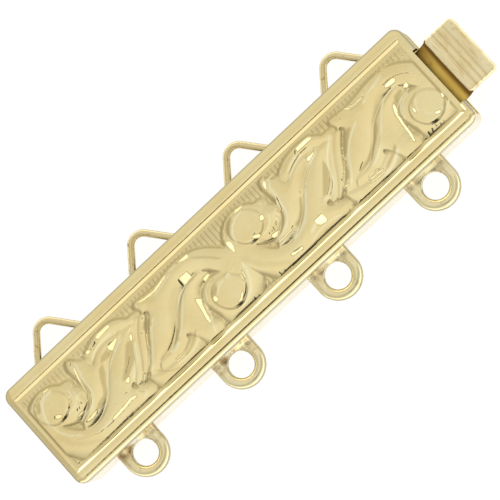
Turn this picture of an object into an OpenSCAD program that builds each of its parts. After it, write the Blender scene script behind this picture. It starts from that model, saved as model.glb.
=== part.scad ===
// A four-strand box clasp: a stamped case with a scroll-ornamented face and a row of soldered
// rings, and a folded spring tongue with a row of wire loops and a ridged thumb plate.
// The origin is the centre of the case's flat back. +X is the way the tongue pulls out,
// the rings stand out on the -Y side, the loops on the +Y side, and the ornament faces +Z.

/* [Case] */
// Length of the case, end to end
case_len = 31.1; // [28:0.1:40]
// Width of the case, from the ring side to the loop side
case_w = 7.1; // [6.6:0.1:10]
// Height of the case, from its back to the crest of its rim
case_h = 3.2; // [3:0.1:4.5]
// Corner radius of the case, seen from above
corner_r = 0.6; // [0.2:0.05:0.8]
// Thickness of the two side walls and the closed end
wall_t = 0.4; // [0.3:0.05:0.5]
// Thickness of the wall at the open end
end_wall_t = 0.47; // [0.35:0.01:0.6]
// Thickness of the back plate
back_t = 0.3; // [0.25:0.05:0.4]
// Thickness of the top sheet under the ornament
top_t = 0.4; // [0.3:0.05:0.45]

/* [Moulded rim] */
// Width of the rim along the two long sides
side_rim_w = 0.95; // [0.8:0.05:1.2]
// Width of the rim across the two ends
end_rim_w = 0.55; // [0.5:0.05:0.8]
// Radius of the rim's round outer edge
rim_edge_r = 0.45; // [0.3:0.05:0.5]
// Width of the bevel that falls from the rim to the panel
rim_bevel = 0.17; // [0.1:0.01:0.25]
// Height of the rim's crest above the panel's ground
rim_rise = 0.25; // [0.15:0.05:0.35]

/* [Scroll ornament] */
// Number of scroll units along the panel
scroll_units = 2; // [1:1:3]
// Height of the fullest leaf above the panel's ground
relief_h = 0.3; // [0.15:0.01:0.35]
// How far the ornament runs in under each end rim
scroll_tuck = 0.35; // [0.2:0.05:0.5]
// Radius of the round boss at the heart of each scroll
boss_r = 0.69; // [0.5:0.01:0.8]
// Height of the boss above the panel's ground
boss_h = 0.24; // [0.15:0.01:0.3]
// Depth to which the ornament is rooted in the top sheet
relief_root = 0.12; // [0.05:0.01:0.2]

/* [Strands] */
// Number of strands that the clasp takes
strands = 4; // [2:1:4]
// Distance from the case's end to the first strand
strand_inset = 4.2; // [4.1:0.1:5.5]

/* [Rings] */
// Radius of the hole in each ring
ring_hole_r = 0.79; // [0.6:0.01:1]
// Radius of the wire that each ring is bent from
ring_wire_r = 0.35; // [0.3:0.01:0.45]
// Depth to which the drilled hole trues the inside of the ring's wire
ring_trim = 0.04; // [0.02:0.01:0.06]
// Thickness of the solder between the first ring's hole and the case's wall
ring_web = 0.02; // [0.02:0.01:0.4]
// How much further out the last ring sits than the first
ring_drift = 0.16; // [0:0.02:0.3]
// How far the row of rings sits from the middle of the case
ring_shift = -0.35; // [-0.6:0.05:0.3]
// Height of the rings above the back
ring_z = 1.3; // [0.9:0.1:1.8]

/* [Wire loops] */
// Radius of the wire of the loops
loop_wire_r = 0.225; // [0.18:0.005:0.28]
// Reach of the first loop from the case's wall to the outside of its tip
loop_reach = 2.06; // [1.6:0.02:2.3]
// How much less the last loop reaches than the first
loop_drift = 0.26; // [0:0.02:0.3]
// Bend radius at a loop's tip, at the middle of the wire
loop_bend_r = 0.74; // [0.6:0.02:1.1]
// Slope of a loop's legs, in degrees from the clasp's length
loop_slope = 51; // [46:1:60]
// Length over which each leg's end lies on the tongue
loop_seat = 0.6; // [0.4:0.05:0.8]
// How far the row of loops sits from the middle of the case
loop_shift = -0.05; // [-0.2:0.05:0.2]
// Height of the loops above the back
loop_z = 0.9; // [0.86:0.01:0.92]

/* [Spring tongue] */
// Thickness of the folded strip
strip_t = 0.3; // [0.2:0.01:0.32]
// Clearance between the strip and the back plate
floor_gap = 0.1; // [0.05:0.01:0.15]
// Clearance between the strip's edges and the side walls
edge_gap = 0.15; // [0.1:0.01:0.25]
// Clearance between the fold and the closed end
fold_gap = 0.15; // [0.1:0.01:0.25]
// How far the lower leaf stops short of the open end
leaf_set_in = 0.25; // [0.1:0.05:0.5]
// Depth of the catch lip below the top sheet
lip_drop = 0.35; // [0.25:0.01:0.45]
// Clearance under the lip while the upper leaf is held down
catch_gap = 0.05; // [0.04:0.01:0.08]
// Clearance between the upper leaf's shoulders and the lip
shoulder_gap = 0.1; // [0.05:0.01:0.2]
// Clearance between the upper leaf and the fold that it springs from
spring_gap = 0.06; // [0.04:0.01:0.1]
// Clearance around the loops' wire in the slot
slot_gap = 0.1; // [0.06:0.01:0.15]

/* [Thumb plate] */
// Width of the neck and the thumb plate
thumb_w = 3.95; // [3:0.05:5]
// How far the neck and the thumb plate sit from the middle
thumb_shift = -0.25; // [-0.4:0.05:0.4]
// Length of the thumb plate
thumb_len = 2.1; // [1.6:0.05:3]
// Thickness of the thumb plate
thumb_t = 0.55; // [0.4:0.05:0.8]
// Radius of the neck's upward bend, on its hollow side
neck_r = 1; // [0.7:0.05:1.1]
// How far the plate's top stands above the end of the neck's bend
thumb_rise = 0.2; // [0.15:0.05:0.4]
// Corner radius of the thumb plate, seen from above
thumb_corner_r = 0.28; // [0.1:0.02:0.5]
// Radius of the thumb plate's round front edge
thumb_edge_r = 0.28; // [0.1:0.02:0.35]
// Depth of the finger grooves
groove_d = 0.1; // [0.05:0.01:0.15]
// Clearance between the neck and each side of the notch
notch_gap = 0.08; // [0.05:0.01:0.15]
// Depth of the notch in the end rim
notch_d = 0.5; // [0.48:0.01:0.54]

/* [Hidden] */
$fn = 48;
// A small overlap that joins pieces of one solid
bite = 0.05;
// How far a cut runs on past the surface that it opens
over = 1;

half_len = case_len / 2;
half_w = case_w / 2;
panel_len = case_len - 2 * end_rim_w;
panel_w = case_w - 2 * side_rim_w;
ground_z = case_h - rim_rise;
ceiling_z = ground_z - top_t;
lip_z = ceiling_z - lip_drop;
mouth_x = half_len - end_wall_t;
inner_w = case_w - 2 * wall_t;

strand_pitch = (case_len - 2 * strand_inset) / (strands - 1);
function strand_x(i, shift) = shift + (i - (strands - 1) / 2) * strand_pitch;

ring_mid_r = ring_hole_r + ring_wire_r - ring_trim;
// The drilled wall is as tall as the flat that the drill leaves inside the round wire
ring_land = 2 * sqrt(pow(ring_wire_r, 2) - pow(ring_wire_r - ring_trim, 2));
function ring_out(i) = ring_hole_r + ring_web + ring_drift * i / (strands - 1);

strip_w = inner_w - 2 * edge_gap;
leaf_z = back_t + floor_gap;
spring_top_z = lip_z - catch_gap;
fold_r = (spring_top_z - leaf_z) / 2;
fold_x = -half_len + wall_t + fold_gap + fold_r;
fold_z = leaf_z + fold_r;
shoulder_x = mouth_x - shoulder_gap;
leaf_end_x = half_len - leaf_set_in;

loop_end_y = strip_w / 2 - loop_seat;
function loop_out(i) = loop_reach - loop_drift * i / (strands - 1);
function bend_y(out) = half_w + out - loop_wire_r - loop_bend_r;
// Where a leg starts: beside the bend's middle, and above it
leg_x = loop_bend_r * sin(loop_slope);
leg_rise = loop_bend_r * cos(loop_slope);
// The legs are drawn this much thinner than the bend, so that each starts inside it
leg_step = 0.005;
// Half the width that the first loop takes where its legs pass through the case's wall
loop_half_w = leg_x + (bend_y(loop_reach) + leg_rise - half_w + wall_t) / tan(loop_slope)
    + loop_wire_r / sin(loop_slope);

thumb_x = mouth_x + neck_r;
thumb_top_z = spring_top_z + neck_r + thumb_rise;
notch_w = thumb_w + 2 * notch_gap;

// Shares of the thumb plate's length at which its three finger grooves lie
GROOVES = [0.26, 0.45, 0.63];

// Outline of a leaf's back: share of its width, share of its height
LEAF_ARCH = [[0, 0], [0.18, 0.72], [0.5, 1], [0.82, 0.72], [1, 0]];
arch_n = len(LEAF_ARCH);

// Each leaf is a row of sections from root to tip. A section names its left edge and its right
// edge, seen along the leaf, and its height. x is in hundredths of a scroll unit's length, y in
// hundredths of the panel's width, both from the unit's middle, and lift is a share of relief_h.
// Half of a unit is charted here, and its other half is the same turned by half a circle.

// The stem: it curls round the boss, sweeps down and runs up again as the long leaf
// left_x, left_y, right_x, right_y, lift
STEM = [
    [-42.7, 5, -42.7, 0.5, 0.3],
    [-39.7, 3.3, -39, -5, 0.5],
    [-36.6, 8.3, -34.5, -0.5, 0.55],
    [-35.1, 16, -31.9, 12.7, 0.6],
    [-36, 27, -32.5, 29.2, 0.6],
    [-39, 33, -36.8, 40.2, 0.6],
    [-42.7, 33, -43.1, 41.3, 0.6],
    [-45.7, 27, -47.6, 34.7, 0.65],
    [-46.8, 18.2, -49.3, 20.4, 0.7],
    [-46.5, 7.2, -49.7, 3.9, 0.75],
    [-44.2, -3.9, -49.1, -12.7, 0.85],
    [-41.2, -13.8, -46.5, -28.1, 0.9],
    [-37.5, -21.5, -41.6, -40.2, 0.95],
    [-32.6, -26.4, -34.9, -46, 1],
    [-27.8, -28.1, -27.4, -46, 1],
    [-24.1, -22.6, -20.7, -41.3, 1],
    [-20.3, -11.6, -15.9, -30.3, 1],
    [-16.6, 0.5, -11.8, -16, 0.95],
    [-12.5, 9.9, -7.6, -1.6, 0.85],
    [-7.6, 18.7, -4.7, 10.5, 0.7],
    [-3.2, 25.9, -2.1, 23.7, 0.35],
];

// The upright leaf in the crook of the stem
// left_x, left_y, right_x, right_y, lift
SPRIG = [
    [-36.4, -17.6, -35.6, -21.5, 0.3],
    [-32.3, -13.8, -30.4, -23.1, 0.7],
    [-28.9, -8.3, -25.9, -19.3, 0.9],
    [-26.7, 0.6, -22.6, -11.6, 1],
    [-25.7, 12.7, -20, -1.7, 1],
    [-25.6, 24.8, -18.9, 10.5, 1],
    [-25.4, 34.7, -18.9, 23.7, 0.9],
    [-24.3, 41.3, -20.7, 35.8, 0.7],
    [-23.3, 45.1, -22.6, 44, 0.35],
];

// The plume between the upright leaf and the long leaf
// left_x, left_y, right_x, right_y, lift
LOW_PLUME = [
    [-16.9, 20.4, -17.2, 7.9, 0.5],
    [-14.7, 27, -14, 13.4, 0.8],
    [-11.4, 31.4, -10.3, 20.4, 0.9],
    [-7.3, 33.6, -6.2, 25.9, 0.8],
    [-3.9, 32.5, -3.4, 28.8, 0.6],
    [-1.7, 30.4, -1.9, 29.4, 0.35],
];

// The plume that arches over it along the rim
// left_x, left_y, right_x, right_y, lift
TOP_PLUME = [
    [-18, 31.3, -17.3, 26.9, 0.4],
    [-16.2, 38, -14.4, 32.4, 0.7],
    [-12.1, 43.5, -10.6, 36.2, 0.9],
    [-6.9, 45.7, -6.5, 38, 0.9],
    [-1.7, 43.5, -2.8, 36.4, 0.8],
    [2.1, 36.9, 0.2, 32.2, 0.6],
    [3.7, 30.3, 2.6, 28.8, 0.35],
];

// The plume under the long leaf
// left_x, left_y, right_x, right_y, lift
UNDER_PLUME = [
    [-12.3, -20.9, -11, -24.2, 0.4],
    [-8.9, -12.5, -7.1, -16.5, 0.6],
    [-5.6, -1.6, -4.1, -6.1, 0.8],
    [-3, 9.4, -1.6, 5, 0.9],
    [-0.6, 18.7, 0.6, 13.2, 0.8],
    [2.3, 23.6, 3.2, 19.3, 0.6],
    [5.2, 27.5, 5.6, 25.9, 0.35],
];

// The small leaf at the stem's foot
// left_x, left_y, right_x, right_y, lift
FOOT_LEAF = [
    [-15.7, -36.3, -18.2, -44.2, 0.4],
    [-13.4, -31.5, -14.4, -46, 0.6],
    [-11, -33.6, -11.4, -46, 0.6],
    [-9.3, -40.2, -9.1, -45.3, 0.4],
];

LEAVES = [STEM, SPRIG, LOW_PLUME, TOP_PLUME, UNDER_PLUME, FOOT_LEAF];
// Middle of the boss: x and y in the same shares
BOSS_AT = [-40.9, 18.2];

unit_len = (panel_len + 2 * scroll_tuck) / scroll_units;

function blend(a, b, t) = a + (b - a) * t;

// The points of one section: over the leaf's back, then along its root
function leaf_section(s) = concat(
    [for (p = LEAF_ARCH) [
        blend(s[0], s[2], p[0]) / 100 * unit_len,
        blend(s[1], s[3], p[0]) / 100 * panel_w,
        p[1] * s[4] * relief_h]],
    [for (side = [2, 0]) [
        s[side] / 100 * unit_len,
        s[side + 1] / 100 * panel_w,
        -relief_root]]);

// One leaf in relief, from its table of sections
module leaf(sections) {
    ring_n = arch_n + 2;
    last = (len(sections) - 1) * ring_n;
    points = [for (s = sections) each leaf_section(s)];
    sides = [for (i = [0 : len(sections) - 2]) for (j = [0 : ring_n - 1])
        let (k = (j + 1) % ring_n)
        [i * ring_n + j, (i + 1) * ring_n + j, (i + 1) * ring_n + k, i * ring_n + k]];
    root_cap = [[for (j = [0 : ring_n - 1]) j]];
    tip_cap = [[for (j = [ring_n - 1 : -1 : 0]) last + j]];
    polyhedron(points = points, faces = concat(sides, root_cap, tip_cap));
}

// The domed boss at the heart of a scroll
module boss() {
    dome_r = (pow(boss_r, 2) + pow(boss_h, 2)) / (2 * boss_h);
    translate([BOSS_AT[0] / 100 * unit_len, BOSS_AT[1] / 100 * panel_w, 0])
        rotate_extrude()
            intersection() {
                translate([0, boss_h - dome_r])
                    circle(dome_r);
                translate([0, -relief_root])
                    square([boss_r, relief_root + boss_h]);
            }
}

// The ornament: each unit is one charted half and the same half turned round
module scrolls() {
    for (i = [0 : scroll_units - 1], turn = [0, 180])
        translate([(i - (scroll_units - 1) / 2) * unit_len, 0, ground_z])
            rotate([0, 0, turn]) {
                boss();
                for (sections = LEAVES)
                    leaf(sections);
            }
}

// A rectangle with round corners, centred
module rounded_plate(l, w, r) {
    square([l - 2 * r, w], center = true);
    square([l, w - 2 * r], center = true);
    for (x = [-1, 1], y = [-1, 1])
        translate([x * (l / 2 - r), y * (w / 2 - r)])
            circle(r);
}

// Cross-section of the block that the case is pressed to, with its two round upper edges
module crowned_section(w) {
    translate([-w / 2, 0])
        square([w, case_h - rim_edge_r]);
    translate([-w / 2 + rim_edge_r, 0])
        square([w - 2 * rim_edge_r, case_h]);
    for (x = [-1, 1])
        translate([x * (w / 2 - rim_edge_r), case_h - rim_edge_r])
            circle(rim_edge_r);
}

// The outside of the case, crowned along all four sides
module pressed_block() {
    intersection() {
        linear_extrude(height = case_h)
            rounded_plate(case_len, case_w, corner_r);
        rotate([90, 0, 0])
            linear_extrude(height = case_w + over, center = true)
                crowned_section(case_len);
        rotate([90, 0, 90])
            linear_extrude(height = case_len + over, center = true)
                crowned_section(case_w);
    }
}

// Cross-section of the sunk panel: its flat ground and the two bevels up to the rim
module sink_section(w) {
    rim_w = w + 2 * rim_bevel;
    polygon([[-w / 2, ground_z], [w / 2, ground_z], [rim_w / 2, case_h], [rim_w / 2, case_h + over],
        [-rim_w / 2, case_h + over], [-rim_w / 2, case_h]]);
}

// The sunk panel inside the rim
module panel_sink() {
    intersection() {
        rotate([90, 0, 0])
            linear_extrude(height = case_w, center = true)
                sink_section(panel_len);
        rotate([90, 0, 90])
            linear_extrude(height = case_len, center = true)
                sink_section(panel_w);
    }
}

// The space for the tongue, its mouth, the slot for the loops and the notch for the neck
module tongue_space() {
    translate([-half_len + wall_t, -inner_w / 2, back_t])
        cube([mouth_x + half_len - wall_t, inner_w, ceiling_z - back_t]);
    translate([mouth_x - bite, -inner_w / 2, back_t])
        cube([end_wall_t + bite + over, inner_w, lip_z - back_t]);
    slot_x = strand_x(0, loop_shift) - loop_half_w - slot_gap;
    slot_r = loop_wire_r + slot_gap;
    translate([slot_x, inner_w / 2 - bite, loop_z - slot_r])
        cube([half_len + over - slot_x, wall_t + bite + over, 2 * slot_r]);
    translate([half_len - notch_d, thumb_shift - notch_w / 2, lip_z - bite])
        cube([notch_d + over, notch_w, case_h]);
}

// One ring of round wire, its roots filled with solder against the case's wall
module ring(out) {
    root_len = out + wall_t / 2;
    rotate([0, 0, 180])
        rotate_extrude(angle = 180)
            translate([ring_mid_r, 0])
                circle(ring_wire_r);
    for (x = [-1, 1])
        translate([x * ring_mid_r, 0, 0])
            rotate([-90, 0, 0])
                cylinder(r = ring_wire_r, h = root_len);
    translate([-ring_mid_r, 0, -ring_land / 2])
        cube([2 * ring_mid_r, root_len, ring_land]);
}

module case() {
    color([0.87, 0.78, 0.5])
        difference() {
            union() {
                difference() {
                    pressed_block();
                    panel_sink();
                }
                scrolls();
                for (i = [0 : strands - 1])
                    translate([strand_x(i, ring_shift), -half_w - ring_out(i), ring_z])
                        ring(ring_out(i));
            }
            tongue_space();
            for (i = [0 : strands - 1])
                translate([strand_x(i, ring_shift), -half_w - ring_out(i), ring_z])
                    cylinder(r = ring_hole_r, h = 2 * ring_wire_r + over, center = true);
        }
}

// One loop: a bent tip and two legs that run in to the tongue
module wire_loop(out) {
    leg_y = bend_y(out) + leg_rise;
    leg_len = (leg_y - loop_end_y) / sin(loop_slope);
    translate([0, bend_y(out), 0])
        rotate([0, 0, 90 - loop_slope])
            rotate_extrude(angle = 2 * loop_slope)
                translate([loop_bend_r, 0])
                    circle(loop_wire_r);
    for (side = [-1, 1])
        translate([side * leg_x, leg_y, 0])
            rotate([0, 90, side > 0 ? -loop_slope : 180 + loop_slope])
                translate([0, 0, -bite])
                    cylinder(r = loop_wire_r - leg_step, h = leg_len + bite);
}

module tongue() {
    color([0.84, 0.74, 0.46]) {
        translate([fold_x, -strip_w / 2, leaf_z])
            cube([leaf_end_x - fold_x, strip_w, strip_t]);
        translate([fold_x, 0, fold_z])
            rotate([90, 0, 0])
                linear_extrude(height = strip_w, center = true)
                    difference() {
                        circle(fold_r);
                        circle(fold_r - strip_t);
                        translate([0, -fold_r - over])
                            square([fold_r + over, 2 * (fold_r + over)]);
                    }
        for (i = [0 : strands - 1])
            translate([strand_x(i, loop_shift), 0, loop_z])
                wire_loop(loop_out(i));
    }
}

// Side view of the thumb plate: a round front edge and three finger grooves
module thumb_section() {
    difference() {
        union() {
            square([thumb_len - thumb_edge_r, thumb_t]);
            square([thumb_len, thumb_t - thumb_edge_r]);
            translate([thumb_len - thumb_edge_r, thumb_t - thumb_edge_r])
                circle(thumb_edge_r);
        }
        for (share = GROOVES)
            translate([share * thumb_len, thumb_t])
                polygon([[-groove_d, 0], [0, -groove_d], [groove_d, 0], [0, groove_d]]);
    }
}

module thumb_plate() {
    intersection() {
        rotate([90, 0, 0])
            linear_extrude(height = thumb_w, center = true)
                thumb_section();
        linear_extrude(height = thumb_t + over)
            translate([thumb_len / 2, 0])
                rounded_plate(thumb_len, thumb_w, thumb_corner_r);
    }
}

module thumb_lever() {
    leaf_x = fold_x + spring_gap;
    color([0.84, 0.74, 0.46]) {
        translate([leaf_x, -strip_w / 2, spring_top_z - strip_t])
            cube([shoulder_x - leaf_x, strip_w, strip_t]);
        translate([shoulder_x - bite, thumb_shift - thumb_w / 2, spring_top_z - strip_t])
            cube([mouth_x - shoulder_x + bite, thumb_w, strip_t]);
        translate([mouth_x, thumb_shift, spring_top_z + neck_r])
            rotate([90, 0, 0])
                linear_extrude(height = thumb_w, center = true)
                    difference() {
                        intersection() {
                            circle(neck_r + strip_t);
                            translate([0, -neck_r - strip_t])
                                square([neck_r + strip_t, neck_r + strip_t]);
                        }
                        circle(neck_r);
                    }
        translate([thumb_x, thumb_shift, thumb_top_z - thumb_t])
            thumb_plate();
    }
}

case();
tongue();
thumb_lever();
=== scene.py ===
# A four-strand box clasp in pale yellow gold, closed and lying on its back on a white table,
# photographed from above.
import math

import bpy
import numpy as np
from mathutils import Matrix, Vector


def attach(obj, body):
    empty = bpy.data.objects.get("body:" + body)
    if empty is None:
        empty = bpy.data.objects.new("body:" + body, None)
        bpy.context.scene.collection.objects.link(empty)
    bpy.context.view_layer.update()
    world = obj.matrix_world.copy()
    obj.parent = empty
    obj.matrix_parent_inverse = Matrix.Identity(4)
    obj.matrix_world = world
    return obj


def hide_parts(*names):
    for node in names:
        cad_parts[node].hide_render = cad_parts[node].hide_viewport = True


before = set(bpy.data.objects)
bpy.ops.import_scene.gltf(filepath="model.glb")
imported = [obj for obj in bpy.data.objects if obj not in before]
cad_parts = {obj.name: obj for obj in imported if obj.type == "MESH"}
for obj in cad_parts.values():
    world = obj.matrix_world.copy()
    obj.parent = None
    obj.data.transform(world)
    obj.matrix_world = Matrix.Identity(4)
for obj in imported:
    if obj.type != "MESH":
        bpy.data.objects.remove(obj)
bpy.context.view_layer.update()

# Camera
# The clasp is photographed from 18 cm above with a long lens. It lies at 43 degrees across the
# picture, thumb plate up and to the right. Sizes in this script are in millimetres until a mesh
# or a light is made.
MM = 0.001


def aim_camera(place, target, turn, width):
    """A camera at place that looks at target, turned about its line of sight, width across."""
    data = bpy.data.cameras.new("photo_camera")
    camera = bpy.data.objects.new("photo_camera", data)
    bpy.context.scene.collection.objects.link(camera)
    look = (Vector(target) - Vector(place)).normalized()
    along = (Vector((1, 0, 0)) - look * look.x).normalized()
    across = look.cross(along)
    right = along * math.cos(turn) + across * math.sin(turn)
    up = along * math.sin(turn) - across * math.cos(turn)
    axes = Matrix((right, up, -look)).transposed().to_4x4()
    camera.matrix_world = Matrix.Translation(Vector(place) * MM) @ axes
    distance = (Vector(target) - Vector(place)).length
    data.sensor_width = 36
    data.lens = 36 * distance / width
    data.clip_start = 0.02
    data.clip_end = 20
    return camera


bpy.context.scene.camera = aim_camera(
    place=(24.8, -23.9, 180), target=(0.888, -0.156, 3.0), turn=math.radians(43.16), width=28.36)
bpy.context.scene.view_settings.view_transform = "Standard"

# Table
# A white card table, bright enough in the photo to burn out to pure white. It is a little brighter
# than the light on it alone would make it.


def new_material(name):
    """A material with an empty node tree and its output node."""
    material = bpy.data.materials.new(name)
    material.use_nodes = True
    tree = material.node_tree
    tree.nodes.clear()
    out = tree.nodes.new("ShaderNodeOutputMaterial")
    return material, tree, out


def add_node(tree, kind, values=None, links=None, **settings):
    """A node of that kind, with its settings, its sockets' constant values and its incoming links."""
    node = tree.nodes.new(kind)
    for key, value in settings.items():
        setattr(node, key, value)
    for key, value in (values or {}).items():
        node.inputs[key].default_value = value
    for key, socket in (links or {}).items():
        tree.links.new(socket, node.inputs[key])
    return node


card, tree, out = new_material("white_card")
grain = add_node(tree, "ShaderNodeTexNoise", {"Scale": 900.0, "Detail": 3.0})
shade = add_node(tree, "ShaderNodeMapRange", {"To Min": 0.3, "To Max": 0.33},
                 {"Value": grain.outputs["Fac"]})
paper = add_node(tree, "ShaderNodeBsdfPrincipled", {"Roughness": 0.9},
                 {"Base Color": shade.outputs["Result"]})
paper.inputs["Emission Color"].default_value = (1.0, 1.0, 1.0, 1)
paper.inputs["Emission Strength"].default_value = 0.82
tree.links.new(paper.outputs["BSDF"], out.inputs["Surface"])

bpy.ops.mesh.primitive_plane_add(size=4.0)
table = bpy.context.object
table.name = "table"
table.data.materials.append(card)

# Light
# A tent of warm white cloth over the clasp, open towards the viewer's side: there the white room
# shows, and between the two the camera's dark shape. Many bright or dark lines on the gold are one
# of these, so the tent is drawn by direction on the sky itself. Others are painted highlights and painted
# shade.
world = bpy.data.worlds.new("light_tent")
bpy.context.scene.world = world
world.use_nodes = True
tree = world.node_tree
tree.nodes.clear()
out = add_node(tree, "ShaderNodeOutputWorld")
sky = add_node(tree, "ShaderNodeBackground")
tree.links.new(sky.outputs["Background"], out.inputs["Surface"])
place = add_node(tree, "ShaderNodeTexCoord")
split = add_node(tree, "ShaderNodeSeparateXYZ", links={"Vector": place.outputs["Generated"]})


def math_node(operation, first, second=None):
    """One sum in the sky's node tree. Each input is a socket or a number."""
    node = add_node(tree, "ShaderNodeMath", operation=operation)
    for at, value in enumerate((first, second)):
        if value is None:
            continue
        if isinstance(value, (int, float)):
            node.inputs[at].default_value = value
        else:
            tree.links.new(value, node.inputs[at])
    return node.outputs["Value"]


# Angle from straight up towards the rings' side, and towards the thumb plate's side, in degrees
rings_way = math_node("MULTIPLY", split.outputs["Y"], -1.0)
toward_rings = math_node("MULTIPLY", math_node("ARCTAN2", rings_way, split.outputs["Z"]), 180 / math.pi)
toward_thumb = math_node("MULTIPLY", math_node("ARCSINE", split.outputs["X"]), 180 / math.pi)
# Brightness of the tent by the first angle
TENT = [
    (-180, 1.2), (-120, 1.2), (-100, 0.85), (-91, 0.85), (-86, 2.4), (-79, 2.4), (-73, 0.8), (-20, 0.8),
    (-13, 0.74), (-10, 0.74), (-6, 0.87), (2, 0.92), (30, 0.64), (40, 0.8), (50, 1.1), (69, 1.1), (73, 2.4),
    (120, 2.4), (180, 1.2)]
# A colour ramp's colours stay below 1, so they are shares of this brightness
RAMP_TOP = 3.0
share = math_node("DIVIDE", math_node("ADD", toward_rings, 180.0), 360.0)
ramp = add_node(tree, "ShaderNodeValToRGB", links={"Fac": share})
ramp.color_ramp.elements[0].position = 0
ramp.color_ramp.elements[-1].position = 1
for angle, _ in TENT[1:-1]:
    ramp.color_ramp.elements.new((angle + 180) / 360)
for element, (angle, level) in zip(ramp.color_ramp.elements, TENT):
    element.color = (*[level / RAMP_TOP] * 3, 1)
tent = math_node("MULTIPLY", ramp.outputs["Color"], RAMP_TOP)


def band(value, low, high, soft):
    """1 between the two angles and 0 outside, with soft edges."""
    up = add_node(tree, "ShaderNodeMapRange", {"From Min": low - soft, "From Max": low + soft},
                  {"Value": value}, interpolation_type="SMOOTHSTEP")
    down = add_node(tree, "ShaderNodeMapRange",
                    {"From Min": high - soft, "From Max": high + soft, "To Min": 1.0, "To Max": 0.0},
                    {"Value": value}, interpolation_type="SMOOTHSTEP")
    return math_node("MULTIPLY", up.outputs["Result"], down.outputs["Result"])


# The camera's dark shape, then a fold of the tent in half shadow beside it, then the tent's duller half
# towards the closed end, each with the share of the light that it takes away
camera_shape = math_node("MULTIPLY", band(toward_rings, 6, 25, 1.5), band(toward_thumb, -12.5, -3.0, 2.0))
fold = math_node("MULTIPLY", band(toward_rings, 4, 40, 4), band(toward_thumb, 0, 42, 6))
dull = band(toward_thumb, -75, -17, 6)
for shape, taken in ((camera_shape, 0.97), (fold, 0.28), (dull, 0.22)):
    tent = math_node("MULTIPLY", tent, math_node("SUBTRACT", 1.0, math_node("MULTIPLY", shape, taken)))
tree.links.new(tent, sky.inputs["Strength"])
sky.inputs["Color"].default_value = (1.0, 0.985, 0.95, 1)

# Stamped cover of the case
# The case's face is pressed from thin gold sheet over a die: a moulded rim around a sunk panel that
# a leaf scroll fills. Its ground is hatched with fine grooves, so that the polished leaves stand out.
CASE = (31.1, 7.1, 3.2)
CORNER_R = 0.6
PANEL = (30.0, 5.2)
GROUND_Z = 3.03
UNIT_L = 15.35
RIM_EDGE_R = 0.4
RIM_BEVEL = 0.21
RIM_CREST = 0.12
RELIEF_H = 0.18
# The notch in the end rim for the neck of the thumb plate: its start, lower side and upper side
NOTCH = (15.3, -2.255, 1.755)
# Where the outer edge starts to round over at the ends
END_ROUND_X = 15.13
# How far down the cover's turned edge reaches outside, and inside the notch
EDGE_FOOT = 2.7
NOTCH_FOOT = 2.2
# A flat worn at the mouth's corner on the rings' side: its lowest and highest x and y
WORN_FLAT = (15.1, 15.34, -2.75, -2.32)

# Each form of the scroll is charted as the outline of its crest, in half a scroll unit. x is in
# hundredths of a unit's length, y in hundredths of the panel's width. The other half is the same
# turned by half a circle.
STEM = [
    (-31, 20), (-32, 30), (-35, 37), (-40, 40), (-44.5, 37), (-48, 29), (-49.8, 18), (-50.3, 5), (-50, -8),
    (-48.3, -18), (-45.5, -27), (-42, -35), (-38, -40), (-33, -42), (-28, -41.5), (-23, -39.5), (-18, -38.5),
    (-13, -39.5), (-9.5, -39.5), (-10, -32), (-12, -25), (-11, -18), (-8.5, -10), (-6.5, -3), (-4, 6),
    (-2, 13), (0, 19), (2.5, 25.5), (0, 27), (-4, 24), (-8, 18), (-12, 10), (-15.5, 0), (-19, -12),
    (-23, -21), (-27, -27), (-31, -29), (-35, -26), (-38, -19), (-40.5, -10), (-42, -2), (-39, -3),
    (-35, -2.5), (-32, 2), (-30.3, 10)]
FAN = [
    (-34, -17), (-31, -13), (-28, -7), (-26, 1), (-25, 10), (-24.6, 20), (-25, 30), (-25.3, 38), (-24, 44.5),
    (-22, 41), (-20, 34), (-18.5, 26), (-17, 22), (-14.5, 26.5), (-11, 30), (-7, 31), (-2.5, 28.5), (-5, 26),
    (-9, 26.5), (-12, 22.5), (-15, 15.5), (-17.5, 9), (-20, 1), (-22.5, -5), (-25.5, -10), (-29, -14)]
TOP_PLUME = [
    (-18.5, 31), (-17, 36), (-13, 41.5), (-8, 44.5), (-3, 44.5), (0.5, 41.5), (3, 36), (4, 31), (1.5, 33),
    (-3, 36), (-8, 35.5), (-12, 32.5), (-15.5, 28)]
ROLLED_EDGE = [
    (-9.5, -25), (-6.5, -15), (-4, -5), (-1.8, 5), (0.2, 13), (3, 21), (6.5, 28), (5.5, 24), (3.8, 18),
    (2, 11), (0.3, 3), (-1.7, -6), (-4.2, -16), (-7.8, -26)]
DISC = [
    (-46.3, 20), (-45.2, 29), (-42.8, 35), (-39.8, 37), (-36.6, 35), (-34.2, 29), (-33.3, 20), (-34.2, 11),
    (-36.6, 5), (-39.8, 3), (-42.8, 5), (-45.2, 11)]
# The height of each form over the ground, as a share of the relief
FORMS = [(STEM, 0.74), (FAN, 0.82), (TOP_PLUME, 0.72), (ROLLED_EDGE, 0.6), (DISC, 1.0)]
# The width of a form's gentle side, how far it falls over that, and the width of its steep edge
BROAD_SIDES = (0.75, 0.08, 0.18)
THIN_SIDES = (0.15, 0.02, 0.12)

# Fineness of the chart that the relief is drawn on, and its size in steps
STEP = 0.025
CHART = (int(round(PANEL[0] / STEP)) + 1, int(round(PANEL[1] / STEP)) + 1)
# The die was cut so that each form falls off gently on this side and steeply on the other
GENTLE = (0.6, -0.8)


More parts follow.
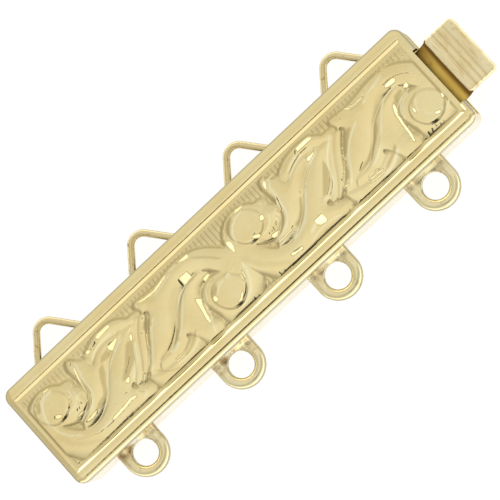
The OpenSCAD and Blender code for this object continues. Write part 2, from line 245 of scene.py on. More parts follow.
def smooth_outline(rows, count):
    """A closed smooth curve through the outline's points, count points to each span."""
    rows = np.array(rows, float)
    out = []
    for k in range(len(rows)):
        a, b, c, d = rows[k - 1], rows[k], rows[(k + 1) % len(rows)], rows[(k + 2) % len(rows)]
        for t in np.arange(count) / count:
            out.append(0.5 * (2 * b + (c - a) * t + (2 * a - 5 * b + 4 * c - d) * t ** 2
                              + (3 * b - a - 3 * c + d) * t ** 3))
    return np.array(out)


def blur(chart, sigma):
    """The chart, softened over sigma millimetres."""
    reach = int(3 * sigma / STEP) + 1
    kernel = np.exp(-0.5 * (np.arange(-reach, reach + 1) * STEP / sigma) ** 2)
    kernel /= kernel.sum()
    for axis in (0, 1):
        padded = np.pad(chart, [(reach, reach) if k == axis else (0, 0) for k in (0, 1)], mode="edge")
        chart = sum(w * np.take(padded, range(n, n + chart.shape[axis]), axis=axis)
                    for n, w in enumerate(kernel))
    return chart


def chart_window(outline, margin):
    """The part of the chart round a curve: its slice, and the x and y of its points."""
    low = np.maximum(((outline.min(axis=0) - margin + np.array(PANEL) / 2) / STEP).astype(int), 0)
    high = np.minimum(((outline.max(axis=0) + margin + np.array(PANEL) / 2) / STEP).astype(int),
                      np.array(CHART) - 1)
    x, y = np.meshgrid(np.arange(low[0], high[0] + 1) * STEP - PANEL[0] / 2,
                       np.arange(low[1], high[1] + 1) * STEP - PANEL[1] / 2, indexing="ij")
    return (slice(low[0], high[0] + 1), slice(low[1], high[1] + 1)), x, y


def nearest(x, y, starts, ends):
    """Offset of each point from the nearest of the segments, and whether they enclose it."""
    best = np.full(x.shape, 1e9)
    near_x = np.zeros(x.shape)
    near_y = np.zeros(x.shape)
    inside = np.zeros(x.shape, bool)
    for (ax, ay), (bx, by) in zip(starts, ends):
        length = (bx - ax) ** 2 + (by - ay) ** 2 + 1e-12
        t = np.clip(((x - ax) * (bx - ax) + (y - ay) * (by - ay)) / length, 0, 1)
        ox, oy = x - ax - t * (bx - ax), y - ay - t * (by - ay)
        d = ox * ox + oy * oy
        closer = d < best
        best[closer] = d[closer]
        near_x[closer] = ox[closer]
        near_y[closer] = oy[closer]
        if ay != by:
            inside ^= ((ay > y) != (by > y)) & (x < ax + (y - ay) * (bx - ax) / (by - ay))
    return near_x, near_y, inside


def draw_form(chart, outline, top, gentle_w, gentle_fall, steep_w):
    """Raises the chart to one form: a nearly flat back, a gentle fall on one side and steep edges."""
    where, x, y = chart_window(outline, gentle_w + steep_w + 0.1)
    near_x, near_y, inside = nearest(x, y, outline, np.roll(outline, -1, axis=0))
    distance = np.hypot(near_x, near_y)
    facing = (near_x * GENTLE[0] + near_y * GENTLE[1]) / np.maximum(distance, 1e-6)
    side = np.clip((facing + 0.1) / 0.8, 0, 1)
    side = side * side * (3 - 2 * side)
    width = gentle_w * side + 1e-6
    left = top - gentle_fall * side * np.clip(distance / width, 0, 1) ** 1.5
    drop = np.clip((distance - width) / steep_w, 0, 1)
    outer = left * (1 - drop)
    inner = top + 0.012 * (1 - np.exp(-distance / 0.25))
    chart[where] = np.maximum(chart[where], np.where(inside, inner, outer))


relief = np.zeros(CHART)
for middle_x in (-UNIT_L / 2, UNIT_L / 2):
    for turn in (1, -1):
        to_mm = np.array([UNIT_L, PANEL[1]]) / 100 * turn
        middle = np.array([middle_x, 0.0])
        for rows, share in FORMS:
            sides = THIN_SIDES if rows is ROLLED_EDGE or rows is DISC else BROAD_SIDES
            draw_form(relief, smooth_outline(rows, 6) * to_mm + middle, share * RELIEF_H, *sides)
# The die's edges were polished soft over this width
SOFT_EDGE = 0.03
leaf_share = blur((relief > 0.02).astype(float), SOFT_EDGE)
relief = blur(relief, SOFT_EDGE)
# The gutters between the leaves are about this wide, and are cut deeper by this share
GUTTER_W = 0.12
GUTTER_SHARE = 0.3
gutter = relief - blur(relief, GUTTER_W)
relief = relief + GUTTER_SHARE * np.minimum(gutter, 0)
chart_x = np.linspace(-PANEL[0] / 2, PANEL[0] / 2, CHART[0])[:, None]
chart_y = np.linspace(-PANEL[1] / 2, PANEL[1] / 2, CHART[1])[None, :]
# Grooves of the hatched ground lie this far apart. They are fainter towards the closed end.
HATCH_PITCH = 0.29
HATCH_H = 0.017
hatch = HATCH_H * np.cos(chart_x * 2 * math.pi / HATCH_PITCH) * np.clip((chart_x + 10) / 7, 0.3, 1)
hatch = hatch * (1 - leaf_share)
# The ground is pressed a little deeper all along the rim's foot
FOOT_D = 0.05
FOOT_W = 0.22
foot = np.minimum(PANEL[1] / 2 - np.abs(chart_y), PANEL[0] / 2 - np.abs(chart_x))
relief = relief + hatch - FOOT_D * np.exp(-(foot / FOOT_W) ** 2) * (1 - leaf_share)
# Close to the rim the relief fades out
relief = np.clip(relief * np.clip((foot - 0.03) / 0.12, 0, 1), -0.1, RELIEF_H)

# Small flats and bends that the die-sinker's tools left on the relief, and painted tones. "white" ones
# catch the tent's brightest side and "dark" ones the camera, by the slope of their face towards +X and +Y.
SLOPES = {"white": (0.5, -0.75), "dark": (0.0, -0.205)}
# The others are painted tones and change only the colour: painted highlight above 0, palest at 1, and
# painted shade below 0, darkest at -1.
PAINTED_TONES = {"cream": 0.9, "tan": -0.3, "shade": -0.75}
# Width over which the edge of each kind is rounded, in millimetres
EDGES = {"white": 0.05, "cream": 0.06, "tan": 0.3, "shade": 0.12, "dark": 0.04}
# They were charted along the panel, in millimetres: the kind, its half width, then its points. A
# half width of 0 fills the outline.
FACETS = [
    # The curl and leaf beside the closed end
    ("tan", 0.1, (-14.6, -0.5), (-14.2, -1.3), (-13.6, -1.9), (-12.8, -2.3)),
    ("cream", 0.04, (-14.45, 0.3), (-14.35, -0.3), (-14.0, -0.9), (-13.4, -1.4)),
    ("shade", 0.02, (-14.1, 0.0), (-13.9, -0.5), (-13.5, -0.8), (-13.0, -0.8)),
    ("white", 0, (-13.65, 1.93), (-13.45, 2.04), (-13.15, 2.02), (-13.12, 1.92), (-13.4, 1.9)),
    ("shade", 0, (-14.55, 1.35), (-14.35, 1.65), (-14.0, 1.8), (-14.1, 1.6), (-14.35, 1.25),
     (-14.55, 1.2)),
    ("dark", 0.04, (-14.3, 1.82), (-14.17, 1.92)),
    ("dark", 0.045, (-13.98, 1.78), (-13.72, 1.9)),
    ("dark", 0.022, (-13.8, 2.04), (-13.6, 2.08)),
    ("dark", 0.04, (-14.55, 1.55), (-14.42, 1.7)),
    ("dark", 0.04, (-14.7, 1.22), (-14.6, 1.16)),
    ("cream", 0.08, (-13.15, 1.75), (-13.6, 1.75), (-14.0, 1.55), (-14.3, 1.1), (-14.45, 0.7),
     (-14.5, 0.35)),
    ("cream", 0.035, (-12.35, 1.1), (-12.35, 0.85), (-12.42, 0.62)),
    ("white", 0.05, (-12.48, 0.87), (-12.6, 0.67)),
    ("cream", 0.035, (-12.15, 0.85), (-12.2, 0.5), (-12.4, 0.25), (-12.8, 0.1), (-13.35, 0.05)),
    ("white", 0, (-13.95, 0.5), (-13.75, 0.5), (-13.5, 0.28), (-13.65, 0.2), (-13.9, 0.28)),
    ("dark", 0.045, (-14.05, 0.38), (-13.92, 0.54)),
    ("dark", 0.03, (-13.52, 0.17), (-13.48, 0.17)),
    ("shade", 0.035, (-12.95, 0.33), (-12.6, 0.5)),
    ("dark", 0.055, (-12.98, 0.31), (-12.9, 0.36)),
    ("cream", 0.03, (-13.25, 0.35), (-13.05, 0.33)),
    ("dark", 0.05, (-12.72, -0.12), (-12.63, -0.05)),
    ("dark", 0.035, (-12.52, -0.13), (-12.5, -0.02)),
    ("dark", 0.03, (-12.25, -0.02), (-12.22, 0.15)),
    ("shade", 0.02, (-12.38, 0.0), (-12.35, 0.3)),
    ("shade", 0.02, (-12.08, 0.0), (-12.05, 0.35)),
    ("shade", 0.02, (-11.95, 0.05), (-11.92, 0.4)),
    ("white", 0.06, (-11.2, 1.85), (-11.35, 1.4), (-11.48, 0.95), (-11.55, 0.6), (-11.62, 0.3),
     (-11.7, 0.15)),
    ("dark", 0.03, (-11.45, 1.55), (-11.52, 1.2)),
    ("dark", 0.02, (-11.62, 1.62), (-11.6, 1.48)),
    ("shade", 0.02, (-11.7, 0.9), (-11.68, 0.4)),
    ("shade", 0.03, (-11.4, 0.7), (-11.4, 0.4), (-11.5, 0.0)),
    ("dark", 0.03, (-11.5, 0.0), (-11.75, -0.3), (-12.0, -0.5)),
    ("dark", 0.035, (-11.6, 0.15), (-11.75, -0.05), (-12.1, -0.25), (-12.45, -0.38)),
    ("white", 0.045, (-12.9, -0.42), (-12.5, -0.38)),
    ("cream", 0.05, (-12.95, -0.75), (-12.5, -0.6), (-12.0, -0.6), (-11.6, -0.3), (-11.3, 0.1),
     (-11.25, 0.7), (-11.2, 1.3)),
    ("white", 0, (-12.75, -0.95), (-12.3, -0.9), (-11.8, -0.85), (-11.9, -0.98), (-12.3, -1.06),
     (-12.6, -1.03)),
    ("dark", 0.03, (-12.77, -0.92), (-12.7, -0.98)),
    ("dark", 0.035, (-12.0, -0.98), (-11.88, -0.95)),
    ("shade", 0, (-11.9, -0.85), (-11.5, -0.62), (-11.0, -0.5), (-10.75, -0.2), (-10.5, 0.3),
     (-10.2, 0.75), (-9.8, 0.85), (-10.0, 0.4), (-10.4, -0.1), (-10.7, -0.55), (-11.1, -0.85),
     (-11.6, -0.98)),
    ("cream", 0.055, (-12.2, -1.25), (-11.6, -1.12), (-11.1, -0.95), (-10.6, -0.6), (-10.2, -0.1),
     (-9.9, 0.25), (-9.5, 0.5), (-9.0, 0.8), (-8.5, 1.02), (-7.95, 1.15)),
    ("dark", 0.02, (-11.1, -0.97), (-10.8, -0.77), (-10.55, -0.55)),
    ("dark", 0.022, (-9.55, 0.45), (-9.2, 0.72), (-8.7, 0.93)),
    ("dark", 0.03, (-11.3, 2.03), (-11.1, 2.18), (-10.7, 2.24)),
    ("dark", 0.05, (-11.32, 2.02), (-11.27, 2.06)),
    ("cream", 0.05, (-10.98, 1.95), (-11.08, 1.6), (-11.15, 1.2)),
    ("tan", 0, (-10.85, 2.1), (-10.4, 2.0), (-10.1, 1.6), (-10.1, 1.3), (-10.35, 1.4), (-10.6, 1.8)),
    ("cream", 0.03, (-10.45, 2.15), (-10.25, 1.9), (-10.1, 1.75)),
    ("dark", 0.02, (-10.15, 2.13), (-9.8, 2.2), (-9.6, 2.26)),
    ("white", 0, (-10.15, 1.9), (-10.1, 2.05), (-9.85, 2.0), (-9.8, 1.85), (-10.05, 1.8)),
    ("dark", 0.045, (-9.75, 2.04), (-9.73, 1.9)),
    ("dark", 0.05, (-9.6, 1.96), (-9.32, 2.04), (-9.28, 2.18)),
    ("white", 0, (-9.15, 2.25), (-9.05, 2.06), (-8.1, 2.12), (-8.0, 2.22), (-8.1, 2.33), (-8.9, 2.33)),
    ("dark", 0.018, (-9.55, 2.3), (-9.1, 2.34), (-8.8, 2.38)),
    ("shade", 0.03, (-9.9, 1.55), (-9.6, 1.8), (-9.2, 1.92)),
    ("cream", 0.05, (-10.1, 1.4), (-9.8, 1.63), (-9.4, 1.78), (-8.8, 1.84), (-8.3, 1.84)),
    ("white", 0, (-9.0, 1.37), (-8.2, 1.42), (-8.15, 1.35), (-8.6, 1.12), (-8.85, 1.0), (-8.97, 1.12)),
    ("dark", 0.022, (-8.9, 1.43), (-8.45, 1.48)),
    ("shade", 0, (-9.9, 0.95), (-9.6, 1.2), (-9.1, 1.3), (-9.05, 1.05), (-9.1, 0.92), (-9.5, 0.87)),
    ("shade", 0, (-9.6, -0.65), (-9.3, -0.4), (-8.9, -0.1), (-8.5, 0.3), (-8.1, 0.7), (-7.85, 0.82),
     (-7.65, 0.6), (-7.85, 0.25), (-8.2, -0.2), (-8.6, -0.45), (-9.0, -0.65), (-9.35, -0.75)),
    ("dark", 0.02, (-9.3, -0.55), (-8.8, -0.25), (-8.3, 0.15)),
    ("white", 0, (-9.5, -0.75), (-9.15, -0.7), (-9.15, -0.8), (-9.35, -1.0), (-9.48, -0.95)),
    ("cream", 0.07, (-9.0, -1.0), (-8.6, -0.72), (-8.2, -0.38), (-7.9, 0.1), (-7.6, 0.45)),
    ("dark", 0.022, (-14.0, -1.25), (-13.6, -1.5), (-13.1, -1.75), (-12.6, -1.93), (-12.0, -1.99),
     (-11.5, -2.0)),
    ("cream", 0.035, (-12.4, -1.87), (-11.5, -1.88)),
    ("white", 0.085, (-11.45, -1.9), (-10.9, -1.87), (-10.4, -1.83), (-9.95, -1.76), (-9.6, -1.82)),
    ("dark", 0.03, (-10.0, -1.3), (-9.7, -1.34)),
    ("dark", 0.022, (-9.4, -1.65), (-9.2, -1.85), (-9.05, -2.0)),
    ("cream", 0.04, (-9.25, -2.22), (-9.02, -2.1), (-8.93, -1.9)),
    ("dark", 0.028, (-13.3, -2.44), (-12.9, -2.48)),
    ("dark", 0.02, (-12.7, -2.48), (-12.3, -2.5)),
    ("dark", 0.028, (-11.4, -2.48), (-11.1, -2.45)),
    ("dark", 0.025, (-10.8, -2.46), (-10.45, -2.49)),
    ("dark", 0.04, (-14.36, -1.92), (-14.36, -2.05)),
    ("dark", 0.03, (-14.35, -2.4), (-14.35, -2.44)),
    ("dark", 0.03, (-14.07, -2.4), (-14.07, -2.44)),
    ("dark", 0.035, (-8.38, -1.05), (-8.42, -1.22)),
    ("white", 0.035, (-8.35, -1.22), (-8.1, -1.2)),
    # The stem and curl left of the middle
    ("dark", 0.028, (-7.35, -0.65), (-7.6, -0.85), (-7.85, -1.07)),
    ("cream", 0.05, (-5.8, 0.75), (-6.1, 0.6), (-6.3, 0.4), (-6.6, 0.05), (-7.0, -0.4), (-7.3, -0.8),
     (-7.6, -1.15), (-7.85, -1.35)),
    ("dark", 0.022, (-5.95, 0.7), (-6.3, 0.52), (-6.6, 0.22), (-6.8, -0.05)),
    ("white", 0, (-6.75, 0.42), (-6.7, 0.22), (-7.0, -0.15), (-7.2, -0.45), (-7.28, -0.45),
     (-7.1, -0.05)),
    ("shade", 0, (-6.75, 0.75), (-6.45, 1.0), (-6.2, 1.0), (-6.25, 0.8), (-6.45, 0.5), (-6.65, 0.5)),
    ("white", 0.04, (-5.95, 1.1), (-6.07, 0.93)),
    ("dark", 0.035, (-6.55, 1.12), (-6.5, 1.04)),
    ("dark", 0.045, (-6.35, 1.2), (-6.3, 1.22)),
    ("dark", 0.03, (-6.9, 0.68), (-6.97, 0.52)),
    ("white", 0, (-7.6, 0.97), (-7.36, 1.02), (-7.45, 0.85), (-7.6, 0.65), (-7.72, 0.7)),
    ("cream", 0.03, (-7.45, 1.17), (-7.2, 1.27)),
    ("dark", 0.018, (-6.8, 1.72), (-6.77, 1.52)),
    ("shade", 0.02, (-7.8, -1.5), (-7.4, -1.9), (-7.0, -2.2), (-6.6, -2.35)),
    ("white", 0.07, (-5.9, 2.03), (-5.6, 1.95), (-5.2, 1.9), (-4.8, 1.87), (-4.4, 1.93), (-4.0, 2.03),
     (-3.7, 2.08)),
    ("dark", 0.03, (-6.05, 2.05), (-5.95, 2.12), (-5.8, 2.12)),
    ("dark", 0.02, (-5.75, 2.12), (-5.45, 2.06)),
    ("dark", 0.035, (-6.15, 2.0), (-6.12, 1.9)),
    ("dark", 0.03, (-5.22, 2.03), (-5.18, 2.03)),
    ("dark", 0.035, (-4.92, 2.04), (-4.87, 2.05)),
    ("dark", 0.022, (-4.5, 2.05), (-4.0, 2.13), (-3.6, 2.18), (-3.2, 2.24), (-2.8, 2.27), (-2.1, 2.23)),
    ("white", 0, (-2.8, 2.16), (-1.9, 2.17), (-1.98, 1.92), (-2.3, 1.96)),
    ("cream", 0.035, (-3.35, 2.13), (-2.9, 2.13)),
    ("cream", 0.04, (-4.9, 1.7), (-4.3, 1.8), (-3.8, 1.93), (-3.4, 1.97)),
    ("tan", 0.07, (-5.45, 1.68), (-5.1, 1.52)),
    ("white", 0.045, (-5.98, 1.85), (-6.04, 1.75)),
    ("tan", 0, (-5.6, -0.55), (-5.2, -0.05), (-4.9, 0.4), (-4.55, 0.85), (-4.0, 1.2), (-3.5, 1.3),
     (-3.45, 0.95), (-4.0, 0.65), (-4.6, 0.1), (-5.0, -0.42)),
    ("shade", 0.06, (-7.1, -1.28), (-6.4, -1.13), (-5.9, -0.88), (-5.4, -0.55), (-5.1, -0.28)),
    ("dark", 0.02, (-6.5, -1.17), (-6.0, -0.97), (-5.5, -0.65), (-5.2, -0.4)),
    ("white", 0, (-3.22, 1.42), (-2.62, 1.42), (-2.6, 0.97), (-3.22, 0.93)),
    ("dark", 0.055, (-3.3, 1.4), (-3.3, 1.0)),
    ("dark", 0.018, (-2.95, 1.47), (-2.63, 1.47)),
    ("cream", 0.04, (-3.0, 0.95), (-3.4, 0.9), (-3.9, 0.68), (-4.35, 0.25), (-4.8, -0.2), (-5.2, -0.62)),
    ("cream", 0.045, (-2.75, 0.78), (-3.2, 0.74), (-3.7, 0.53), (-4.15, 0.08), (-4.6, -0.37),
     (-5.0, -0.78), (-5.45, -1.08)),
    ("shade", 0.022, (-2.8, 0.87), (-3.3, 0.82), (-3.8, 0.6), (-4.25, 0.17), (-4.7, -0.28),
     (-5.1, -0.7), (-5.5, -0.97), (-5.9, -1.18)),
    ("cream", 0, (-6.4, -1.35), (-6.1, -1.25), (-5.7, -1.15), (-5.6, -1.3), (-6.0, -1.48), (-6.35, -1.5)),
    ("white", 0.03, (-6.4, -1.85), (-6.0, -1.85)),
    ("white", 0.035, (-6.55, -2.0), (-5.8, -2.0)),
    ("cream", 0.04, (-6.55, -2.17), (-5.9, -2.2), (-5.4, -2.15), (-5.0, -2.03), (-4.6, -1.85)),
    ("tan", 0, (-5.4, -1.72), (-4.9, -1.45), (-4.6, -1.4), (-4.6, -1.65), (-5.1, -1.9)),
    ("shade", 0.045, (-5.7, -1.85), (-5.2, -1.6), (-4.8, -1.3)),
    ("shade", 0.05, (-5.8, -2.07), (-5.3, -1.92), (-4.9, -1.72), (-4.5, -1.45)),
    ("cream", 0.04, (-4.65, -1.76), (-4.5, -1.55)),
    ("white", 0, (-3.3, -0.05), (-3.02, -0.3), (-3.2, -0.6), (-3.35, -1.1), (-3.45, -1.6),
     (-3.6, -1.72), (-3.62, -1.4), (-3.5, -0.9), (-3.42, -0.4)),
    ("cream", 0.05, (-2.95, -0.35), (-3.1, -0.8), (-3.2, -1.3), (-3.5, -1.8), (-3.7, -2.3)),
    ("cream", 0.04, (-1.9, 0.05), (-2.4, 0.0), (-2.65, -0.25), (-2.8, -0.6)),
    ("shade", 0.025, (-2.25, 0.1), (-2.55, -0.03), (-2.8, -0.33), (-2.97, -0.7), (-3.07, -1.1),
     (-3.27, -1.6)),
    ("shade", 0.02, (-1.75, 0.0), (-2.1, 0.05)),
    ("tan", 0, (-3.05, 0.1), (-2.75, 0.45), (-2.4, 0.5), (-2.3, 0.22), (-2.6, 0.08), (-2.9, -0.22)),
    ("dark", 0.022, (-2.6, 0.1), (-2.35, 0.2)),
    ("white", 0, (-2.22, 0.48), (-1.8, 0.52), (-1.75, 0.4), (-1.85, 0.17), (-2.2, 0.18)),
    ("dark", 0.04, (-2.27, 0.33), (-2.27, 0.2)),
    ("dark", 0.015, (-1.9, 0.56), (-1.75, 0.52)),
    ("shade", 0, (-2.4, -0.52), (-2.1, -0.35), (-1.85, -0.27), (-1.95, -0.55), (-2.2, -0.7),
     (-2.35, -0.72)),
    ("white", 0, (-2.5, -0.7), (-2.3, -0.74), (-2.28, -0.92), (-2.45, -1.08), (-2.58, -0.95)),
    ("cream", 0.05, (-2.15, -0.78), (-1.95, -0.58), (-1.7, -0.45), (-1.4, -0.4)),
    ("shade", 0.018, (-1.2, -0.22), (-0.85, -0.17)),
    ("cream", 0, (-1.2, -0.35), (-0.9, -0.25), (-0.88, -0.5), (-1.15, -0.45)),
    ("white", 0.045, (-0.42, -0.78), (-0.5, -1.2)),
    ("white", 0.04, (-0.23, -0.72), (-0.35, -1.2)),
    ("white", 0.06, (-1.55, -1.88), (-1.35, -1.9), (-1.15, -1.75), (-1.0, -1.62)),
    ("dark", 0.035, (-0.45, -1.33), (-0.65, -1.55), (-0.9, -1.78), (-1.2, -1.92)),
    ("cream", 0.08, (-1.5, -2.25), (-1.0, -2.1), (-0.5, -1.8), (-0.2, -1.4), (0.0, -0.9), (0.08, -0.4)),
    ("shade", 0.018, (-1.9, 1.8), (-1.4, 1.42), (-1.0, 1.05), (-0.65, 0.6)),
    ("shade", 0.018, (-1.7, 1.62), (-1.2, 1.18), (-0.8, 0.72)),
    ("dark", 0.03, (-1.1, 1.92), (-1.03, 1.85)),
    ("dark", 0.03, (-0.8, 1.7), (-0.74, 1.66)),
    ("dark", 0.028, (-0.52, 1.5), (-0.42, 1.33)),
    ("dark", 0.035, (-0.2, 1.15), (-0.14, 1.0)),
    ("shade", 0.02, (-4.8, 2.45), (-4.2, 2.5)),
    # The curl and leaf right of the middle
    ("dark", 0.035, (-0.02, 0.97), (0.0, 0.85)),
    ("white", 0, (0.1, 1.05), (0.25, 1.08), (0.42, 0.98), (0.38, 0.6), (0.2, 0.3), (0.12, 0.35),
     (0.1, 0.7)),
    ("shade", 0, (0.45, 1.3), (0.6, 1.65), (1.0, 1.95), (1.35, 2.0), (1.3, 1.8), (0.9, 1.5),
     (0.65, 1.25)),
    ("white", 0, (1.55, 1.93), (1.8, 2.1), (2.3, 2.1), (2.25, 1.9), (1.75, 1.9)),
    ("cream", 0.05, (2.0, 1.8), (1.5, 1.7), (1.1, 1.5), (0.85, 1.25), (0.7, 0.95), (0.6, 0.6)),
    ("dark", 0.045, (0.46, 1.64), (0.52, 1.68)),
    ("dark", 0.045, (0.2, 1.3), (0.24, 1.38)),
    ("dark", 0.025, (0.83, 1.9), (0.92, 1.93)),
    ("dark", 0.03, (1.42, 1.95), (1.52, 2.02)),
    ("dark", 0.028, (1.5, 2.15), (1.56, 2.17)),
    ("dark", 0.02, (1.82, 2.17), (1.87, 2.17)),
    ("dark", 0.025, (2.1, 2.16), (2.22, 2.13)),
    ("dark", 0.035, (2.78, 1.87), (2.88, 1.76)),
    ("dark", 0.03, (3.1, 1.38), (3.15, 1.25)),
    ("white", 0, (2.45, 0.62), (2.6, 0.85), (2.8, 0.85), (2.78, 0.65), (2.7, 0.55)),
    ("cream", 0.04, (3.05, 0.75), (3.0, 0.45), (2.8, 0.2), (2.5, 0.0), (2.1, -0.05)),
    ("tan", 0, (2.1, 0.15), (2.5, 0.4), (2.75, 0.45), (2.6, 0.2), (2.3, 0.08)),
    ("white", 0, (1.4, 0.28), (1.65, 0.28), (1.9, 0.15), (1.95, 0.02), (1.8, -0.03), (1.6, 0.1)),
    ("dark", 0.035, (1.6, 0.33), (1.88, 0.33)),
    ("dark", 0.025, (1.95, 0.17), (2.03, 0.1)),
    ("cream", 0.035, (1.2, 0.28), (1.45, 0.03), (1.7, -0.2)),
    ("shade", 0.022, (1.6, -0.02), (1.9, -0.35), (2.25, -0.67)),
    ("tan", 0, (1.3, -0.1), (1.5, -0.6), (2.0, -0.8), (1.7, -0.3)),
    ("tan", 0.1, (0.3, -0.3), (0.8, -1.2), (1.6, -1.9), (2.3, -2.3)),
    ("dark", 0.04, (2.35, -0.25), (2.42, -0.22)),
    ("dark", 0.035, (2.57, -0.26), (2.6, -0.22)),
    ("dark", 0.03, (2.73, -0.3), (2.75, -0.1)),
    ("dark", 0.022, (2.88, -0.2), (2.88, -0.1)),
    ("dark", 0.022, (3.0, -0.16), (3.0, -0.05)),
    ("dark", 0.03, (3.1, -0.08), (3.12, 0.06)),
    ("dark", 0.022, (3.35, 0.12), (3.35, 0.32)),
    ("dark", 0.03, (3.55, 0.3), (3.55, 0.52)),
    ("cream", 0.03, (3.47, 0.15), (3.45, 0.38)),
    ("cream", 0.03, (3.2, -0.1), (3.22, 0.12)),
    ("white", 0, (2.35, -0.5), (2.4, -0.4), (2.6, -0.4), (2.9, -0.5), (2.85, -0.6), (2.6, -0.65),
     (2.4, -0.62)),
    ("dark", 0.045, (2.16, -0.88), (2.2, -0.91)),
    ("white", 0, (3.6, 0.35), (3.7, 0.6), (3.95, 0.9), (4.0, 0.93), (3.9, 0.6), (3.8, 0.3), (3.65, 0.28)),
    ("white", 0, (3.85, 1.7), (3.95, 2.05), (4.1, 2.2), (4.2, 2.1), (4.1, 1.9), (3.95, 1.7)),
    ("cream", 0.03, (4.1, 2.2), (4.25, 2.35)),
    ("dark", 0.028, (4.07, 1.1), (4.05, 0.9), (3.95, 0.65), (3.87, 0.4), (3.8, 0.2)),
    ("shade", 0, (3.1, -0.4), (3.4, -0.1), (3.7, 0.05), (3.6, -0.2), (3.3, -0.45)),
    ("cream", 0.07, (2.3, -0.85), (2.9, -0.75), (3.4, -0.55), (3.8, -0.2), (3.98, 0.2), (4.02, 0.6),
     (4.13, 1.2), (4.12, 1.6), (4.35, 1.95)),
    ("white", 0.035, (2.35, -1.02), (2.9, -0.98), (3.5, -0.95)),
    ("cream", 0.035, (2.45, -1.1), (2.8, -1.2), (3.3, -1.22), (3.8, -1.12)),
    ("dark", 0.02, (3.45, -0.88), (3.65, -0.85)),
    ("shade", 0, (3.75, -0.88), (4.2, -0.75), (4.6, -0.4), (4.9, 0.0), (5.05, 0.1), (5.1, 0.0),
     (4.9, -0.3), (4.6, -0.65), (4.2, -0.95), (3.9, -1.05)),
    ("cream", 0.08, (3.3, -1.45), (3.9, -1.3), (4.4, -1.05), (4.8, -0.7), (5.1, -0.3), (5.5, 0.08)),
    ("cream", 0.05, (5.3, 0.05), (5.5, 0.25), (6.0, 0.6), (6.6, 0.98), (7.3, 1.33)),
    ("dark", 0.022, (5.5, 0.15), (5.8, 0.43), (6.3, 0.77), (6.8, 1.05)),
    ("dark", 0.03, (5.2, 0.36), (5.25, 0.26)),
    ("tan", 0, (5.3, 0.4), (5.6, 0.8), (6.0, 1.15), (6.5, 1.4), (6.72, 1.35), (6.65, 1.15),
     (6.3, 0.92), (5.9, 0.68), (5.5, 0.38)),
    ("tan", 0, (4.7, 1.95), (5.0, 1.8), (5.15, 1.4), (5.1, 1.1), (4.9, 1.3), (4.75, 1.6)),
    ("cream", 0.04, (4.2, 2.03), (4.7, 2.1)),
    ("dark", 0.035, (5.18, 1.93), (5.22, 1.96)),
    ("tan", 0, (5.2, 1.65), (5.5, 2.0), (6.0, 2.15), (6.3, 2.1), (6.2, 1.97), (5.8, 1.82), (5.5, 1.62)),
    ("cream", 0.035, (5.5, 1.62), (6.0, 1.83), (6.5, 1.95)),
    ("cream", 0.05, (5.2, 1.25), (5.6, 1.43), (6.1, 1.63), (6.7, 1.8)),
    ("dark", 0.025, (5.4, 1.45), (5.7, 1.58), (6.1, 1.75), (6.6, 1.88), (7.3, 1.92)),
    ("white", 0, (6.68, 2.15), (6.75, 2.3), (7.7, 2.32), (7.85, 2.15), (7.7, 2.05), (6.7, 2.05)),
    ("dark", 0.05, (6.47, 2.05), (6.65, 2.24)),
    ("white", 0, (6.7, 1.25), (6.8, 1.42), (7.4, 1.46), (7.3, 1.35), (6.9, 1.22)),
    ("dark", 0.028, (6.7, 1.5), (7.1, 1.53), (7.4, 1.52), (7.55, 1.43)),
    ("shade", 0, (6.0, -0.85), (6.3, -0.5), (6.7, -0.05), (7.1, 0.4), (7.4, 0.7), (7.4, 0.2),
     (7.1, -0.2), (6.7, -0.6), (6.3, -0.85)),
    ("dark", 0.02, (6.25, -0.9), (6.7, -0.6), (7.1, -0.2)),
    ("cream", 0.055, (6.3, -1.2), (6.7, -0.95), (7.1, -0.55), (7.3, -0.1), (7.45, 0.35)),
    ("dark", 0.022, (6.35, -1.05), (6.8, -0.77), (7.15, -0.37)),
    ("cream", 0.04, (6.0, -1.0), (6.3, -1.02)),
    ("white", 0.055, (5.8, -0.95), (5.88, -0.86)),
    ("white", 0, (4.72, -1.45), (5.35, -1.45), (5.35, -1.9), (5.2, -2.0), (4.85, -1.9), (4.72, -1.75)),
    ("cream", 0.09, (4.2, -1.85), (4.7, -1.65)),
    ("dark", 0.025, (5.0, -1.36), (5.35, -1.38)),
    ("cream", 0.03, (3.9, -2.25), (4.5, -2.1), (5.2, -2.06), (5.7, -2.12), (6.1, -2.25)),
    ("white", 0, (2.45, -1.95), (2.5, -2.1), (3.2, -2.2), (3.3, -2.05), (2.9, -2.04), (2.6, -1.93)),
    ("dark", 0.028, (2.6, -1.92), (2.8, -1.98), (3.15, -1.99)),
    ("dark", 0.025, (0.15, -2.2), (0.15, -2.4)),
    ("dark", 0.035, (0.45, -2.2), (0.45, -2.42)),
    ("dark", 0.04, (0.73, -2.18), (0.73, -2.42)),
    ("dark", 0.04, (1.03, -2.2), (1.03, -2.42)),
    ("dark", 0.038, (1.3, -2.25), (1.32, -2.42)),
    ("dark", 0.04, (1.59, -2.38), (1.62, -2.44)),
    ("dark", 0.03, (1.88, -2.45), (1.93, -2.48)),
    ("dark", 0.035, (-0.72, -2.33), (-0.72, -2.47)),
    ("dark", 0.03, (-0.45, -2.36), (-0.43, -2.46)),
    ("dark", 0.025, (-0.15, -2.36), (-0.14, -2.44)),
    ("dark", 0.02, (2.1, -2.5), (3.0, -2.52), (4.0, -2.51)),
    ("dark", 0.028, (4.57, -2.47), (4.63, -2.47)),
    ("dark", 0.03, (4.85, -2.45), (4.91, -2.46)),
    ("dark", 0.03, (5.14, -2.44), (5.2, -2.45)),
    ("dark", 0.028, (5.46, -2.47), (5.5, -2.47)),
    ("dark", 0.028, (5.75, -2.47), (5.8, -2.47)),
    ("dark", 0.022, (6.05, -2.48), (6.35, -2.48)),
    ("dark", 0.05, (6.66, -2.37), (6.62, -2.44)),
    ("dark", 0.042, (6.95, -2.25), (6.93, -2.43)),
